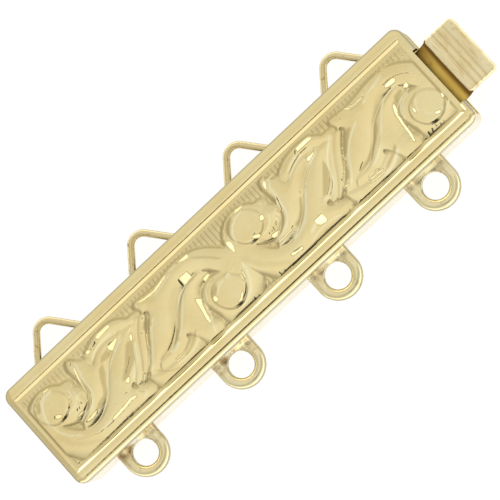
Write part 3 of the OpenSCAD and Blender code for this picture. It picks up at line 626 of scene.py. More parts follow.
    ("dark", 0.045, (7.23, -2.25), (7.22, -2.4)),
    # The stem and curl beside the mouth
    ("white", 0.045, (7.2, -1.22), (7.6, -1.3)),
    ("cream", 0.055, (8.7, 1.5), (8.3, 1.2), (7.9, 0.85), (7.6, 0.5), (7.4, 0.1), (7.3, -0.15)),
    ("tan", 0, (7.7, 1.35), (8.0, 1.4), (8.2, 1.25), (7.9, 1.1)),
    ("shade", 0, (7.6, -1.0), (7.9, -0.75), (8.2, -0.45), (8.1, -0.75), (7.85, -1.05)),
    ("shade", 0, (8.5, 0.05), (8.8, 0.6), (9.2, 0.95), (9.6, 1.1), (9.85, 1.0), (9.5, 0.75),
     (9.1, 0.4), (8.8, 0.1)),
    ("cream", 0.06, (7.7, -1.4), (8.0, -1.1), (8.3, -0.7), (8.6, -0.2), (8.9, 0.15), (9.3, 0.5),
     (9.8, 0.8), (10.2, 1.0)),
    ("dark", 0.05, (7.45, -0.87), (7.48, -0.78)),
    ("dark", 0.03, (7.6, -0.78), (7.62, -0.7)),
    ("dark", 0.038, (7.77, -0.67), (7.74, -0.57)),
    ("dark", 0.04, (7.93, -0.52), (8.0, -0.45)),
    ("dark", 0.035, (8.2, -0.15), (8.24, 0.0)),
    ("dark", 0.035, (8.5, 0.33), (8.52, 0.43)),
    ("dark", 0.04, (8.76, 0.69), (8.8, 0.72)),
    ("dark", 0.045, (9.02, 0.89), (9.06, 0.92)),
    ("dark", 0.03, (9.3, 1.07), (9.36, 1.14)),
    ("cream", 0.045, (7.85, -0.62), (7.88, -0.58)),
    ("white", 0.05, (8.13, -0.42), (8.2, -0.32)),
    ("white", 0, (8.3, -0.2), (8.35, 0.05), (8.43, 0.25), (8.5, 0.0), (8.45, -0.15)),
    ("white", 0.045, (8.64, 0.43), (8.7, 0.5)),
    ("cream", 0.04, (8.92, 0.74), (8.95, 0.77)),
    ("white", 0.045, (9.7, 2.1), (9.72, 1.95)),
    ("white", 0.045, (9.7, 1.8), (9.73, 1.76)),
    ("dark", 0.022, (9.8, 2.15), (9.87, 2.25), (9.95, 2.2)),
    ("dark", 0.025, (10.05, 2.2), (10.35, 2.15)),
    ("white", 0, (10.15, 2.05), (10.4, 2.0), (10.52, 1.85), (10.45, 1.8), (10.25, 1.95)),
    ("white", 0.04, (10.4, 1.87), (10.9, 1.8), (11.5, 1.78)),
    ("white", 0.035, (10.68, 1.93), (10.72, 1.93)),
    ("white", 0.035, (10.93, 1.95), (10.97, 1.95)),
    ("white", 0.035, (11.18, 1.95), (11.22, 1.95)),
    ("dark", 0.03, (11.48, 1.88), (11.6, 1.88)),
    ("dark", 0.04, (11.74, 1.88), (11.82, 1.93)),
    ("dark", 0.04, (11.97, 1.99), (12.0, 2.02)),
    ("cream", 0.08, (11.3, 1.55), (11.9, 1.74), (12.5, 1.88), (13.0, 1.98)),
    ("shade", 0.016, (10.5, 1.7), (11.0, 1.62), (11.6, 1.65), (12.2, 1.72)),
    ("tan", 0, (10.7, 1.4), (11.0, 1.55), (11.2, 1.45), (10.95, 1.35)),
    ("dark", 0.05, (12.83, 2.2), (12.98, 2.24)),
    ("white", 0, (13.1, 2.24), (13.2, 2.33), (13.75, 2.26), (13.8, 2.1), (13.3, 2.1)),
    ("dark", 0.026, (14.2, 2.25), (14.5, 2.13), (14.8, 1.93), (15.0, 1.72)),
    ("white", 0.025, (13.93, 2.29), (14.0, 2.29)),
    ("tan", 0.09, (12.6, 1.33), (12.0, 1.18), (11.6, 0.83), (11.2, 0.35), (10.8, -0.1)),
    ("shade", 0.09, (11.0, 0.12), (10.8, -0.12), (10.3, -0.52), (9.8, -0.82), (9.3, -1.05), (8.6, -1.22)),
    ("dark", 0.03, (8.55, -1.15), (8.8, -1.0), (9.05, -0.9)),
    ("cream", 0.055, (13.3, 1.03), (12.7, 0.98), (12.2, 0.83), (11.8, 0.53), (11.4, 0.13),
     (11.0, -0.32), (10.6, -0.72), (10.2, -1.0)),
    ("shade", 0.02, (12.9, 0.93), (12.4, 0.85), (12.1, 0.7)),
    ("shade", 0.018, (10.8, -0.47), (10.5, -0.75), (10.2, -0.93)),
    ("cream", 0, (9.2, -1.45), (9.6, -1.3), (10.0, -1.1), (10.3, -1.0), (10.1, -1.2), (9.7, -1.4),
     (9.3, -1.5)),
    ("cream", 0.02, (8.5, -1.33), (9.0, -1.3), (9.5, -1.2)),
    ("dark", 0.032, (12.75, 1.5), (13.2, 1.52), (13.6, 1.43), (14.0, 1.25), (14.25, 1.05), (14.37, 0.85)),
    ("white", 0, (12.75, 1.3), (12.9, 1.44), (13.4, 1.44), (13.55, 1.32), (13.4, 1.15), (12.95, 1.2)),
    ("white", 0.03, (8.7, -1.75), (9.1, -1.75), (9.5, -1.85)),
    ("white", 0.04, (8.6, -1.92), (9.1, -1.95), (9.6, -2.0)),
    ("white", 0.035, (8.5, -2.05), (9.0, -2.15), (9.6, -2.15)),
    ("shade", 0, (9.7, -2.1), (10.0, -1.9), (10.4, -1.75), (10.9, -1.45), (11.02, -1.4), (11.0, -1.6),
     (10.6, -1.85), (10.1, -2.05), (9.8, -2.15)),
    ("cream", 0.08, (9.5, -2.35), (10.1, -2.25), (10.6, -2.0), (11.0, -1.76)),
    ("white", 0, (12.55, 0.35), (12.5, 0.1), (12.35, -0.3), (12.2, -0.9), (12.15, -1.6), (12.0, -2.1),
     (11.9, -2.05), (12.0, -1.5), (12.06, -0.9), (12.16, -0.2), (12.33, 0.2)),
    ("cream", 0.035, (13.65, 0.4), (13.2, 0.3), (12.8, 0.1), (12.55, -0.3), (12.45, -0.8)),
    ("cream", 0.035, (13.5, 0.22), (13.1, 0.1), (12.8, -0.15), (12.65, -0.5)),
    ("shade", 0.03, (12.42, -0.4), (12.3, -1.0)),
    ("shade", 0, (12.6, 0.3), (12.8, 0.6), (13.3, 0.7), (13.35, 0.5), (12.9, 0.37), (12.75, 0.17)),
    ("dark", 0.04, (13.31, 0.57), (13.35, 0.59)),
    ("white", 0, (13.5, 0.6), (13.7, 0.72), (13.88, 0.72), (13.85, 0.5), (13.7, 0.45)),
    ("shade", 0.05, (13.2, -0.5), (13.4, -0.25), (13.8, -0.1)),
    ("white", 0, (13.08, -0.65), (13.2, -0.6), (13.2, -0.8), (13.12, -0.95), (13.04, -0.9)),
    ("cream", 0.04, (13.25, -0.95), (13.4, -0.6), (13.6, -0.35)),
    ("white", 0, (13.85, -1.68), (14.0, -1.65), (14.25, -1.78), (14.1, -1.88), (13.9, -1.8)),
    ("cream", 0.03, (13.5, -1.3), (13.7, -1.55), (13.9, -1.68)),
    ("dark", 0.03, (13.52, -1.24), (13.55, -1.28)),
    ("white", 0, (14.75, -1.35), (14.85, -1.1), (14.95, -0.95), (14.98, -1.15), (14.9, -1.35)),
    ("cream", 0.04, (14.4, -1.95), (14.8, -1.8), (14.98, -1.62)),
    ("shade", 0.04, (14.5, -1.7), (14.8, -1.45)),
    ("dark", 0.045, (7.44, -2.44), (7.5, -2.44)),
    ("dark", 0.04, (7.75, -2.47), (7.82, -2.46)),
    ("dark", 0.025, (8.0, -2.48), (8.1, -2.48)),
    ("dark", 0.022, (9.0, -2.53), (9.8, -2.51), (10.3, -2.47)),
    ("dark", 0.035, (10.3, -2.47), (10.9, -2.44)),
    ("dark", 0.03, (11.12, -2.46), (11.18, -2.46)),
    ("dark", 0.03, (11.4, -2.47), (12.1, -2.45)),
    ("dark", 0.055, (12.24, -2.42), (12.35, -2.41)),
    ("dark", 0.045, (12.56, -2.34), (12.52, -2.44)),
    ("dark", 0.045, (12.87, -2.2), (12.83, -2.4)),
    ("dark", 0.04, (13.17, -2.2), (13.1, -2.36)),
    ("dark", 0.03, (13.45, -2.2), (13.46, -2.3)),
    ("dark", 0.035, (13.7, -2.3), (13.72, -2.4)),
    ("dark", 0.025, (13.93, -2.3), (13.95, -2.4))]


def stroke_weight(half_width, soft, points):
    """How far each chart point takes part in one flat: its part of the chart and the weights there."""
    points = np.array(points, float)
    where, x, y = chart_window(points, half_width + soft)
    if half_width == 0:
        near_x, near_y, inside = nearest(x, y, points, np.roll(points, -1, axis=0))
        edge = np.hypot(near_x, near_y) * np.where(inside, 1, -1)
        return where, np.clip(0.5 + edge / soft, 0, 1)
    near_x, near_y, inside = nearest(x, y, points[:-1], points[1:])
    ends = np.minimum(np.hypot(x - points[0, 0], y - points[0, 1]),
                      np.hypot(x - points[-1, 0], y - points[-1, 1]))
    # A stroke gets thinner towards its ends
    taper = np.clip(0.55 + ends / 0.35, 0, 1)
    edge = half_width * taper - np.hypot(near_x, near_y)
    return where, np.clip(0.5 + edge / soft, 0, 1)


# The forms' own flanks are rounded over by polishing, so they look no steeper than this
POLISHED_SLOPE = 0.34
slope = np.gradient(blur(relief, 0.025), STEP)
steep = np.hypot(*slope) + 1e-9
flatter = POLISHED_SLOPE * np.tanh(steep / POLISHED_SLOPE) / steep
# Along the panel's long sides they look level
flatter = flatter * np.clip((PANEL[1] / 2 - 0.08 - np.abs(chart_y)) / 0.12, 0, 1)
lean = np.stack([-slope[0] * flatter, -slope[1] * flatter, np.ones(CHART)])
# The steeper the forms' flanks, the darker they are painted: painted shade
painted_tone = -0.9 * np.clip((steep - 0.1) / 0.6, 0, 1)
for kind, half_width, *points in FACETS:
    where, weight = stroke_weight(half_width, EDGES[kind], points)
    if kind in PAINTED_TONES:
        painted_tone[where] = painted_tone[where] * (1 - weight) + PAINTED_TONES[kind] * weight
        continue
    painted_tone[where] = painted_tone[where] * (1 - weight)
    for k, part in enumerate((*SLOPES[kind], 1.0)):
        lean[(k,) + where] = lean[(k,) + where] * (1 - weight) + part * weight


def lines(*spans):
    """Grid lines through a list of spans, each (start, end, number of steps)."""
    out = [spans[0][0]]
    for start, end, count in spans:
        out += [start + (end - start) * k / count for k in range(1, count + 1)]
    return out


def round_steps(edge, inner):
    """Steps from inner out to the edge, finer towards the edge, where the rim turns down."""
    return [inner + (edge - inner) * math.sin(math.pi / 2 * k / 8) for k in range(1, 9)]


def warp_corners(x, y, half_l, half_w, r):
    """Moves a grid's points so that its square corners become round ones of radius r."""
    s = np.clip((np.abs(x) - (half_l - r)) / r, 0, 1)
    t = np.clip((np.abs(y) - (half_w - r)) / r, 0, 1)
    new_x = np.where((s > 0) & (t > 0), half_l - r + r * s * np.sqrt(1 - t ** 2 / 2), np.abs(x))
    new_y = np.where((s > 0) & (t > 0), half_w - r + r * t * np.sqrt(1 - s ** 2 / 2), np.abs(y))
    return np.sign(x) * new_x, np.sign(y) * new_y


def edge_distance(x, y, half_l, half_w, r):
    """Distance in from the outline of a rectangle with round corners."""
    dx = np.abs(x) - (half_l - r)
    dy = np.abs(y) - (half_w - r)
    outside = np.hypot(np.maximum(dx, 0), np.maximum(dy, 0))
    return r - outside - np.minimum(np.maximum(dx, dy), 0)


def on_chart(chart, x, y):
    """The chart's values at these points, read between its steps."""
    i = np.clip((x + PANEL[0] / 2) / STEP, 0, CHART[0] - 1.001)
    j = np.clip((y + PANEL[1] / 2) / STEP, 0, CHART[1] - 1.001)
    i0, j0 = i.astype(int), j.astype(int)
    fi, fj = i - i0, j - j0
    return ((chart[i0, j0] * (1 - fi) + chart[i0 + 1, j0] * fi) * (1 - fj)
            + (chart[i0, j0 + 1] * (1 - fi) + chart[i0 + 1, j0 + 1] * fi) * fj)


def cover_height(x, y):
    """Height of the stamped cover's surface, and how far each point lies sunk into the relief."""
    d = np.clip(edge_distance(x, y, CASE[0] / 2, CASE[1] / 2, CORNER_R), 0, RIM_EDGE_R)
    crown = CASE[2] - RIM_EDGE_R + np.sqrt(np.clip(RIM_EDGE_R ** 2 - (RIM_EDGE_R - d) ** 2, 0, None))
    past = np.maximum(np.abs(x) - PANEL[0] / 2, np.abs(y) - PANEL[1] / 2)
    crest = np.clip(1 + (RIM_BEVEL - past) / RIM_CREST, 0, 1)
    crest_fall = 0.12 * RIM_CREST
    depth = CASE[2] - GROUND_Z - crest_fall
    rise = CASE[2] - GROUND_Z - depth * np.clip(1 - past / RIM_BEVEL, 0, 1) - crest_fall * crest ** 2
    past = past / RIM_BEVEL
    h = on_chart(relief, x, y)
    z = np.minimum(crown, GROUND_Z + rise + h * np.clip(1 - past, 0, 1))
    sunk = np.clip(1 - h / 0.12, 0, 1) * np.clip(1 - past * 1.2, 0, 1)
    return z, sunk


def grid_faces(columns, rows, keep=None):
    """Faces of a grid of points stored column by column. keep says which cells have one."""
    i, j = np.meshgrid(np.arange(columns - 1), np.arange(rows - 1), indexing="ij")
    a = i * rows + j
    faces = np.stack([a, a + rows, a + rows + 1, a + 1], axis=-1)
    return faces[keep] if keep is not None else faces.reshape(-1, 4)


def make_piece(name, points, faces, material, body, node, smooth=True):
    """A mesh piece from points in millimetres. It rides on body and stands for the CAD node."""
    mesh = bpy.data.meshes.new(name)
    mesh.from_pydata((np.asarray(points, float) * MM).tolist(), [], [list(map(int, f)) for f in faces])
    mesh.validate()
    mesh.update()
    mesh.polygons.foreach_set("use_smooth", [smooth] * len(mesh.polygons))
    obj = bpy.data.objects.new(name, mesh)
    bpy.context.scene.collection.objects.link(obj)
    mesh.materials.append(material)
    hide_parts(node)
    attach(obj, body)
    return obj


def gold(name, colour, roughness, scratch_scale, browning=(0.0, 0.0), sides=0.0,
         side_shade_colour=(0.62, 0.56, 0.36)):
    """Worn yellow gold: colour drifts, fine scratches, dull patches, brown spots, and browner hollows.

    The first of the two brown shares is how strong the brown is in hollows marked on the mesh, the
    second in scattered spots. sides is how far the faces that lean away from level are painted darker and
    duller: painted shade."""
    material, tree, out = new_material(name)
    where = add_node(tree, "ShaderNodeTexCoord")
    spot = where.outputs["Object"]
    cloud = add_node(tree, "ShaderNodeTexNoise", {"Scale": 380.0, "Detail": 4.0, "Roughness": 0.6},
                     {"Vector": spot})
    drift = add_node(tree, "ShaderNodeMapRange", {"From Min": 0.35, "From Max": 0.65},
                     {"Value": cloud.outputs["Fac"]})
    warm = tuple(c * k for c, k in zip(colour, (0.97, 0.93, 0.85)))
    base = add_node(tree, "ShaderNodeMix", {6: (*colour, 1), 7: (*warm, 1)}, {0: drift.outputs["Result"]},
                    data_type="RGBA")
    speck = add_node(tree, "ShaderNodeTexNoise", {"Scale": 2600.0, "Detail": 2.0}, {"Vector": spot})
    dirt = add_node(tree, "ShaderNodeMapRange", {"From Min": 0.62, "From Max": 0.72, "To Max": browning[1]},
                    {"Value": speck.outputs["Fac"]})
    hollow = add_node(tree, "ShaderNodeAttribute", attribute_name="sunk")
    deep = add_node(tree, "ShaderNodeMath", {1: browning[0]}, {0: hollow.outputs["Fac"]},
                    operation="MULTIPLY")
    brown = add_node(tree, "ShaderNodeMath", links={0: deep.outputs[0], 1: dirt.outputs["Result"]},
                     operation="MAXIMUM")
    # Painted shade: faces that lean away from level, by their normal, are painted darker and duller towards
    # the side colour
    facing = add_node(tree, "ShaderNodeSeparateXYZ", links={"Vector": where.outputs["Normal"]})
    low = add_node(tree, "ShaderNodeMapRange", {"From Min": 0.76, "From Max": 0.62, "To Max": sides},
                   {"Value": facing.outputs["Z"]})
    edge_wear_and_side_shade = add_node(tree, "ShaderNodeMix", {7: (*side_shade_colour, 1)},
                    {0: low.outputs["Result"], 6: base.outputs[2]}, data_type="RGBA")
    shade = add_node(tree, "ShaderNodeMix", {7: (0.34, 0.20, 0.06, 1)},
                     {0: brown.outputs[0], 6: edge_wear_and_side_shade.outputs[2]}, data_type="RGBA")
    dull = add_node(tree, "ShaderNodeMapRange", {"To Min": roughness * 0.7, "To Max": roughness * 1.5},
                    {"Value": cloud.outputs["Fac"]})
    scratch = add_node(tree, "ShaderNodeTexNoise",
                       {"Scale": scratch_scale, "Detail": 3.0, "Distortion": 0.4}, {"Vector": spot})
    bump = add_node(tree, "ShaderNodeBump", {"Strength": 0.08, "Distance": 0.00004},
                    {"Height": scratch.outputs["Fac"]})
    metal = add_node(tree, "ShaderNodeBsdfPrincipled", {"Metallic": 1.0},
                     {"Base Color": shade.outputs[2], "Roughness": dull.outputs["Result"],
                      "Normal": bump.outputs["Normal"]})
    tree.links.new(metal.outputs["BSDF"], out.inputs["Surface"])
    return material


def find_node(tree, kind):
    """The first node of that kind in a material."""
    return next(node for node in tree.nodes if node.bl_idname == kind)


def tint(tree, colour, share):
    """Covers the gold's colour with another, as far as the socket share says."""
    metal = find_node(tree, "ShaderNodeBsdfPrincipled")
    old = metal.inputs["Base Color"].links[0].from_socket
    mix = add_node(tree, "ShaderNodeMix", {7: (*colour, 1)}, {0: share, 6: old}, data_type="RGBA")
    tree.links.new(mix.outputs[2], metal.inputs["Base Color"])


def shade_along(tree, direction):
    """Shades the gold along a direction, which needn't have length 1, and not along its own normal."""
    normal = add_node(tree, "ShaderNodeVectorMath", links={0: direction}, operation="NORMALIZE")
    tree.links.new(normal.outputs[0], find_node(tree, "ShaderNodeBump").inputs["Normal"])


case_gold = gold("case_gold", (0.95, 0.815, 0.445), 0.1, 4200.0, browning=(0.1, 0.0), sides=1.0)
tree = case_gold.node_tree
# In the panel each point's own normal gives way to the polished slope that is charted there
chart_attribute = add_node(tree, "ShaderNodeAttribute", attribute_name="lean")
parts = add_node(tree, "ShaderNodeSeparateXYZ", links={"Vector": chart_attribute.outputs["Vector"]})
rest = add_node(tree, "ShaderNodeMath", {0: 1.0}, {1: parts.outputs["Z"]}, operation="SUBTRACT")
surface = add_node(tree, "ShaderNodeNewGeometry")
own = add_node(tree, "ShaderNodeVectorMath", links={0: surface.outputs["Normal"], "Scale": rest.outputs[0]},
               operation="SCALE")
both = add_node(tree, "ShaderNodeVectorMath", links={0: own.outputs[0], 1: chart_attribute.outputs["Vector"]},
                operation="ADD")
shade_along(tree, both.outputs[0])
# Where the charted tone is above 0 the gold is painted paler, a painted highlight, and below 0 browner, a
# painted shade
chart_attribute = add_node(tree, "ShaderNodeAttribute", attribute_name="painted_tone")
for colour, full in (((1.0, 0.93, 0.60), 1.0), ((0.60, 0.48, 0.22), -1.0)):
    share = add_node(tree, "ShaderNodeMapRange", {"From Max": full}, {"Value": chart_attribute.outputs["Fac"]})
    tint(tree, colour, share.outputs["Result"])

# The cover's grid is fine over the panel, and follows the bevel, the crest and the rounded edge outside
PANEL_LINES = (621, 105)
half_l, half_w = CASE[0] / 2, CASE[1] / 2
foot_x = PANEL[0] / 2 + 0.05
end_x = lines((PANEL[0] / 2, foot_x, 1), (foot_x, END_ROUND_X, 3))
end_x = end_x[1:] + round_steps(half_l, END_ROUND_X)
bevel_y = PANEL[1] / 2 + RIM_BEVEL
side_y = lines((PANEL[1] / 2, bevel_y, 4), (bevel_y, bevel_y + RIM_CREST, 4),
               (bevel_y + RIM_CREST, half_w - RIM_EDGE_R, 2))
side_y = side_y[1:] + round_steps(half_w, half_w - RIM_EDGE_R)
panel_x = list(np.linspace(-PANEL[0] / 2, PANEL[0] / 2, PANEL_LINES[0]))
panel_y = np.round(np.linspace(-PANEL[1] / 2, PANEL[1] / 2, PANEL_LINES[1]), 6)
panel_y = sorted(set(panel_y) | {NOTCH[1], NOTCH[2]})
xs = np.array([-x for x in reversed(end_x)] + panel_x + end_x)
ys = np.array([-y for y in reversed(side_y)] + panel_y + side_y)
gx, gy = np.meshgrid(xs, ys, indexing="ij")
gx, gy = warp_corners(gx, gy, half_l, half_w, CORNER_R)
gz, sunk = cover_height(gx, gy)

# Each point's lean for the shader: none outside the panel, but for the parts that wear has changed
in_panel = (np.abs(gx) < PANEL[0] / 2) & (np.abs(gy) < PANEL[1] / 2)
leans = np.stack([on_chart(part, gx, gy) * in_panel for part in lean], axis=-1)
past_x, past_y = np.abs(gx) - PANEL[0] / 2, np.abs(gy) - PANEL[1] / 2
# The foot of the bevel on the loops' side
leans[(np.abs(past_y) < 0.03) & (gy > 0) & (past_x < 0)] = (0.25, 0, 1)
# The bevels at the ends were pressed almost flat
leans[(past_x > -0.08) & (past_x < 0.25) & (past_x > past_y)] = (0, 0, 0.9)
leans[(gx > WORN_FLAT[0]) & (gx < WORN_FLAT[1]) & (gy > WORN_FLAT[2]) & (gy < WORN_FLAT[3])] = (
    *SLOPES["white"], 1)
# The outer edge was rounded over by wear, except along the rings' side
outline = (half_l, half_w, CORNER_R)
inset = edge_distance(gx, gy, *outline)
out_x = edge_distance(gx - 0.01, gy, *outline) - edge_distance(gx + 0.01, gy, *outline)
out_y = edge_distance(gx, gy - 0.01, *outline) - edge_distance(gx, gy + 0.01, *outline)
length = np.hypot(out_x, out_y) + 1e-9
out_x, out_y = out_x / length, out_y / length
bend = np.clip((RIM_EDGE_R - inset) / RIM_EDGE_R, 0, 1)
bend = np.minimum(bend / np.sqrt(1 - bend ** 2 + 1e-6), 0.5)
edge_wear_and_side_shade = np.clip((out_y + 0.8) / 0.4, 0, 1) * (inset < RIM_EDGE_R)
leans += np.stack([out_x * bend * edge_wear_and_side_shade, out_y * bend * edge_wear_and_side_shade, edge_wear_and_side_shade], axis=-1)
leans = leans.reshape(-1, 3).tolist()
painted_tone_values = (on_chart(painted_tone, gx, gy) * in_panel).reshape(-1).tolist()

cell_x, cell_y = np.meshgrid((xs[1:] + xs[:-1]) / 2, (ys[1:] + ys[:-1]) / 2, indexing="ij")
in_notch = (cell_x > NOTCH[0]) & (cell_y > NOTCH[1]) & (cell_y < NOTCH[2])
points = np.stack([gx, gy, gz], axis=-1).reshape(-1, 3)
faces = grid_faces(len(xs), len(ys), ~in_notch).tolist()
points = points.tolist()
marks = sunk.reshape(-1).tolist()


def hang_wall(chain, bottom):
    """Adds a wall that hangs from a chain of the cover's points down to the height bottom."""
    start = len(points)
    for at in chain:
        points.append(list(points[at]))
        points.append([points[at][0], points[at][1], bottom])
        marks.extend([0.0, 0.0])
        leans.extend([[0.0, 0.0, 0.0]] * 2)
        painted_tone_values.extend([0.0, 0.0])
    for k in range(len(chain) - 1):
        a = start + 2 * k
        faces.append([a, a + 1, a + 3, a + 2])


# The notch's two sides and its bottom, as rows and a column of the grid
low_row, high_row = int(np.argmin(abs(ys - NOTCH[1]))), int(np.argmin(abs(ys - NOTCH[2])))
notch_column = int(np.argmin(abs(xs - NOTCH[0])))
rows_n = len(ys)
end_column = len(xs) - 1
hang_wall([end_column * rows_n + j for j in range(high_row, rows_n)], EDGE_FOOT)
hang_wall([i * rows_n + rows_n - 1 for i in range(end_column, -1, -1)], EDGE_FOOT)
hang_wall(list(range(rows_n - 1, -1, -1)), EDGE_FOOT)
hang_wall([i * rows_n for i in range(end_column + 1)], EDGE_FOOT)
hang_wall([end_column * rows_n + j for j in range(low_row + 1)], EDGE_FOOT)
hang_wall([i * rows_n + low_row for i in range(end_column, notch_column - 1, -1)], NOTCH_FOOT)
hang_wall([notch_column * rows_n + j for j in range(low_row, high_row + 1)], EDGE_FOOT)
hang_wall([i * rows_n + high_row for i in range(notch_column, end_column + 1)], NOTCH_FOOT)
cover = make_piece("case_cover", points, faces, case_gold, "case", "case")
for name, kind, key, values in (("sunk", "FLOAT", "value", marks), ("painted_tone", "FLOAT", "value", painted_tone_values),
                                ("lean", "FLOAT_VECTOR", "vector", np.array(leans).ravel())):
    layer = cover.data.attributes.new(name, kind, "POINT")
    layer.data.foreach_set(key, values)

# Walls of the case
# The cover's sides run down to the back plate. One end is closed, the other is the mouth, with the
# lip that the spring catches on. A slot for the wire loops runs along one side to the mouth.
LIP_Z = 2.2
CEILING_Z = 2.55
WALL_T = 0.4
BACK_T = 0.3
# The inner face of the lip, and how far in the notch is cut under the cover
MOUTH_X = 15.08
MOUTH_TOP_X = 15.05
# The slot's closed end, lower side and upper side
SLOT = (-13.95, 0.575, 1.225)


def rounded_outline(half_l, half_w, r, steps):
    """Points round a rectangle with round corners."""
    out = []
    for cx, cy, start in ((1, 1, 0), (-1, 1, 90), (-1, -1, 180), (1, -1, 270)):
        for k in range(steps + 1):
            a = math.radians(start + 90 * k / steps)
            out.append((cx * (half_l - r) + r * math.cos(a), cy * (half_w - r) + r * math.sin(a)))
    return out


def prism(outline, bottom, top):
    """Points and faces of an upright prism."""
    n = len(outline)
    points = [(x, y, z) for z in (bottom, top) for x, y in outline]
    faces = [[k, (k + 1) % n, n + (k + 1) % n, n + k] for k in range(n)]
    return points, faces + [list(range(n))[::-1], list(range(n, 2 * n))]


def box_points(low, high):
    """Points and faces of a box between two corners."""
    outline = [(low[0], low[1]), (high[0], low[1]), (high[0], high[1]), (low[0], high[1])]
    return prism(outline, low[2], high[2])


def cut_boxes(obj, boxes):
    """Cuts boxes, given by their corners in millimetres, out of a piece."""
    for low, high in boxes:
        points, faces = box_points(low, high)
        mesh = bpy.data.meshes.new("cutter")
        mesh.from_pydata([[c * MM for c in p] for p in points], [], faces)
        cutter = bpy.data.objects.new("cutter", mesh)
        bpy.context.scene.collection.objects.link(cutter)
        cut = obj.modifiers.new("cut", "BOOLEAN")
        cut.operation = "DIFFERENCE"
        cut.solver = "EXACT"
        cut.object = cutter
        bpy.context.view_layer.objects.active = obj
        bpy.ops.object.modifier_apply(modifier=cut.name)
        bpy.data.objects.remove(cutter)


wall_gold = gold("wall_gold", (0.92, 0.86, 0.70), 0.2, 3000.0)
# The faces turned towards the mouth's end are painted a deeper, darker yellow than the sides: painted shade
tree = wall_gold.node_tree
facing = find_node(tree, "ShaderNodeTexCoord").outputs["Normal"]
parts = add_node(tree, "ShaderNodeSeparateXYZ", links={"Vector": facing})
end_face_shade = add_node(tree, "ShaderNodeMapRange", {"From Min": 0.3, "From Max": 0.8},
                  {"Value": parts.outputs["X"]})
tint(tree, (0.76, 0.62, 0.32), end_face_shade.outputs["Result"])
points, faces = prism(rounded_outline(half_l, half_w, CORNER_R, 10), BACK_T - 0.01, EDGE_FOOT + 0.04)
walls = make_piece("case_walls", points, faces, wall_gold, "case", "case", smooth=False)
# The inside, the mouth under the lip, the slot and the notch, each cut on past the outside
inner_w = half_w - WALL_T
past_end, past_side, past_top = 17, 5, 4
cut_boxes(walls, [
    ((-half_l + WALL_T, -inner_w, 0.2), (MOUTH_X, inner_w, CEILING_Z)),
    ((MOUTH_X - 0.08, -inner_w, 0.2), (past_end, inner_w, LIP_Z)),
    ((SLOT[0], inner_w - 0.05, SLOT[1]), (past_end, past_side, SLOT[2])),
    ((MOUTH_TOP_X, NOTCH[1], LIP_Z - 0.05), (past_end, NOTCH[2], past_top))])
walls.data.polygons.foreach_set("use_smooth", [True] * len(walls.data.polygons))
walls.data.set_sharp_from_angle(angle=math.radians(25))

# Back plate
# A flat sheet of the same gold, soldered across the open back. It is plain, scuffed where it lies
# on skin or cloth.
back_gold = gold("back_gold", (0.90, 0.77, 0.42), 0.24, 1800.0, browning=(0.0, 0.2))
points, faces = prism(rounded_outline(half_l, half_w, CORNER_R, 10), 0.0, BACK_T)
back = make_piece("back_plate", points, faces, back_gold, "case", "case", smooth=False)
soft = back.modifiers.new("soft", "BEVEL")
soft.width = 0.05 * MM
soft.segments = 2
soft.limit_method = "ANGLE"
bpy.context.view_layer.objects.active = back
bpy.ops.object.modifier_apply(modifier=soft.name)

# Rings
# Four rings of heavy round wire stand out from one side, each soldered on by its two ends. The solder
# fills the root between them and is stained brown where it was heated.
RING_Z = 1.3
RING_HOLE_R = 0.79
RING_WIRE_R = 0.35
# Each ring's middle along the side, how far its middle stands off the wall, and the extra height of
# the solder on its right leg
RINGS = [(-11.7, 0.81, 0.05), (-4.1333, 0.8633, 0.08), (3.4333, 0.9167, 0.06), (11.0, 0.97, 0.03)]
# Half the height of the flat that the hole cuts on the wire
RING_LAND = 0.1625
# How deep the legs run into the wall, how high the solder stands on them and how far it spreads
RING_ROOT = 0.15
SOLDER_H = 0.1
SOLDER_SPREAD = 0.16


def ring_mesh(x0, out, right_leg):
    """Points and faces of one ring and its solder, which is higher by right_leg on the right."""
    turns, steps = 96, 14
    mid = RING_HOLE_R + RING_WIRE_R - 0.04
    outer = mid + RING_WIRE_R
    reach = out + RING_ROOT
    upper, lower = [], []
    for k in range(turns):
        a = 2 * math.pi * k / turns
        dx, dy = math.sin(a), math.cos(a)
        limit = min(outer / max(abs(dx), 1e-9), reach / dy) if dy > 0 else outer
        for n in range(steps + 1):
            share = math.sin(math.pi / 2 * n / steps)
            r = RING_HOLE_R + (limit - RING_HOLE_R) * share
            x, y = r * dx, r * dy
            off = (abs(x) if dy > 0 else r) - mid
            h = math.sqrt(max(RING_WIRE_R ** 2 - off ** 2, 0)) if off > -RING_WIRE_R else 0
            if dy > 0 and off < 0:
                h = (h ** 4 + RING_LAND ** 4) ** 0.25
            gap = max(out - y, 0)
            if dy > 0 and off < RING_WIRE_R * 0.9:
                h += (SOLDER_H + (right_leg if x > 0 else 0)) * math.exp(-gap / SOLDER_SPREAD)
            upper.append((x0 + x, -half_w - out + y, RING_Z + h))
            lower.append((x0 + x, -half_w - out + y, RING_Z - h))
    count = turns * (steps + 1)
    faces = []
    for k in range(turns):
        k2 = (k + 1) % turns
        for n in range(steps):
            a, b = k * (steps + 1) + n, k2 * (steps + 1) + n
            faces.append([a, a + 1, b + 1, b])
            faces.append([count + a, count + b, count + b + 1, count + a + 1])
        a, b = k * (steps + 1), k2 * (steps + 1)
        faces.append([a, b, count + b, count + a])
        faces.append([a + steps, count + a + steps, count + b + steps, b + steps])
    return upper + lower, faces


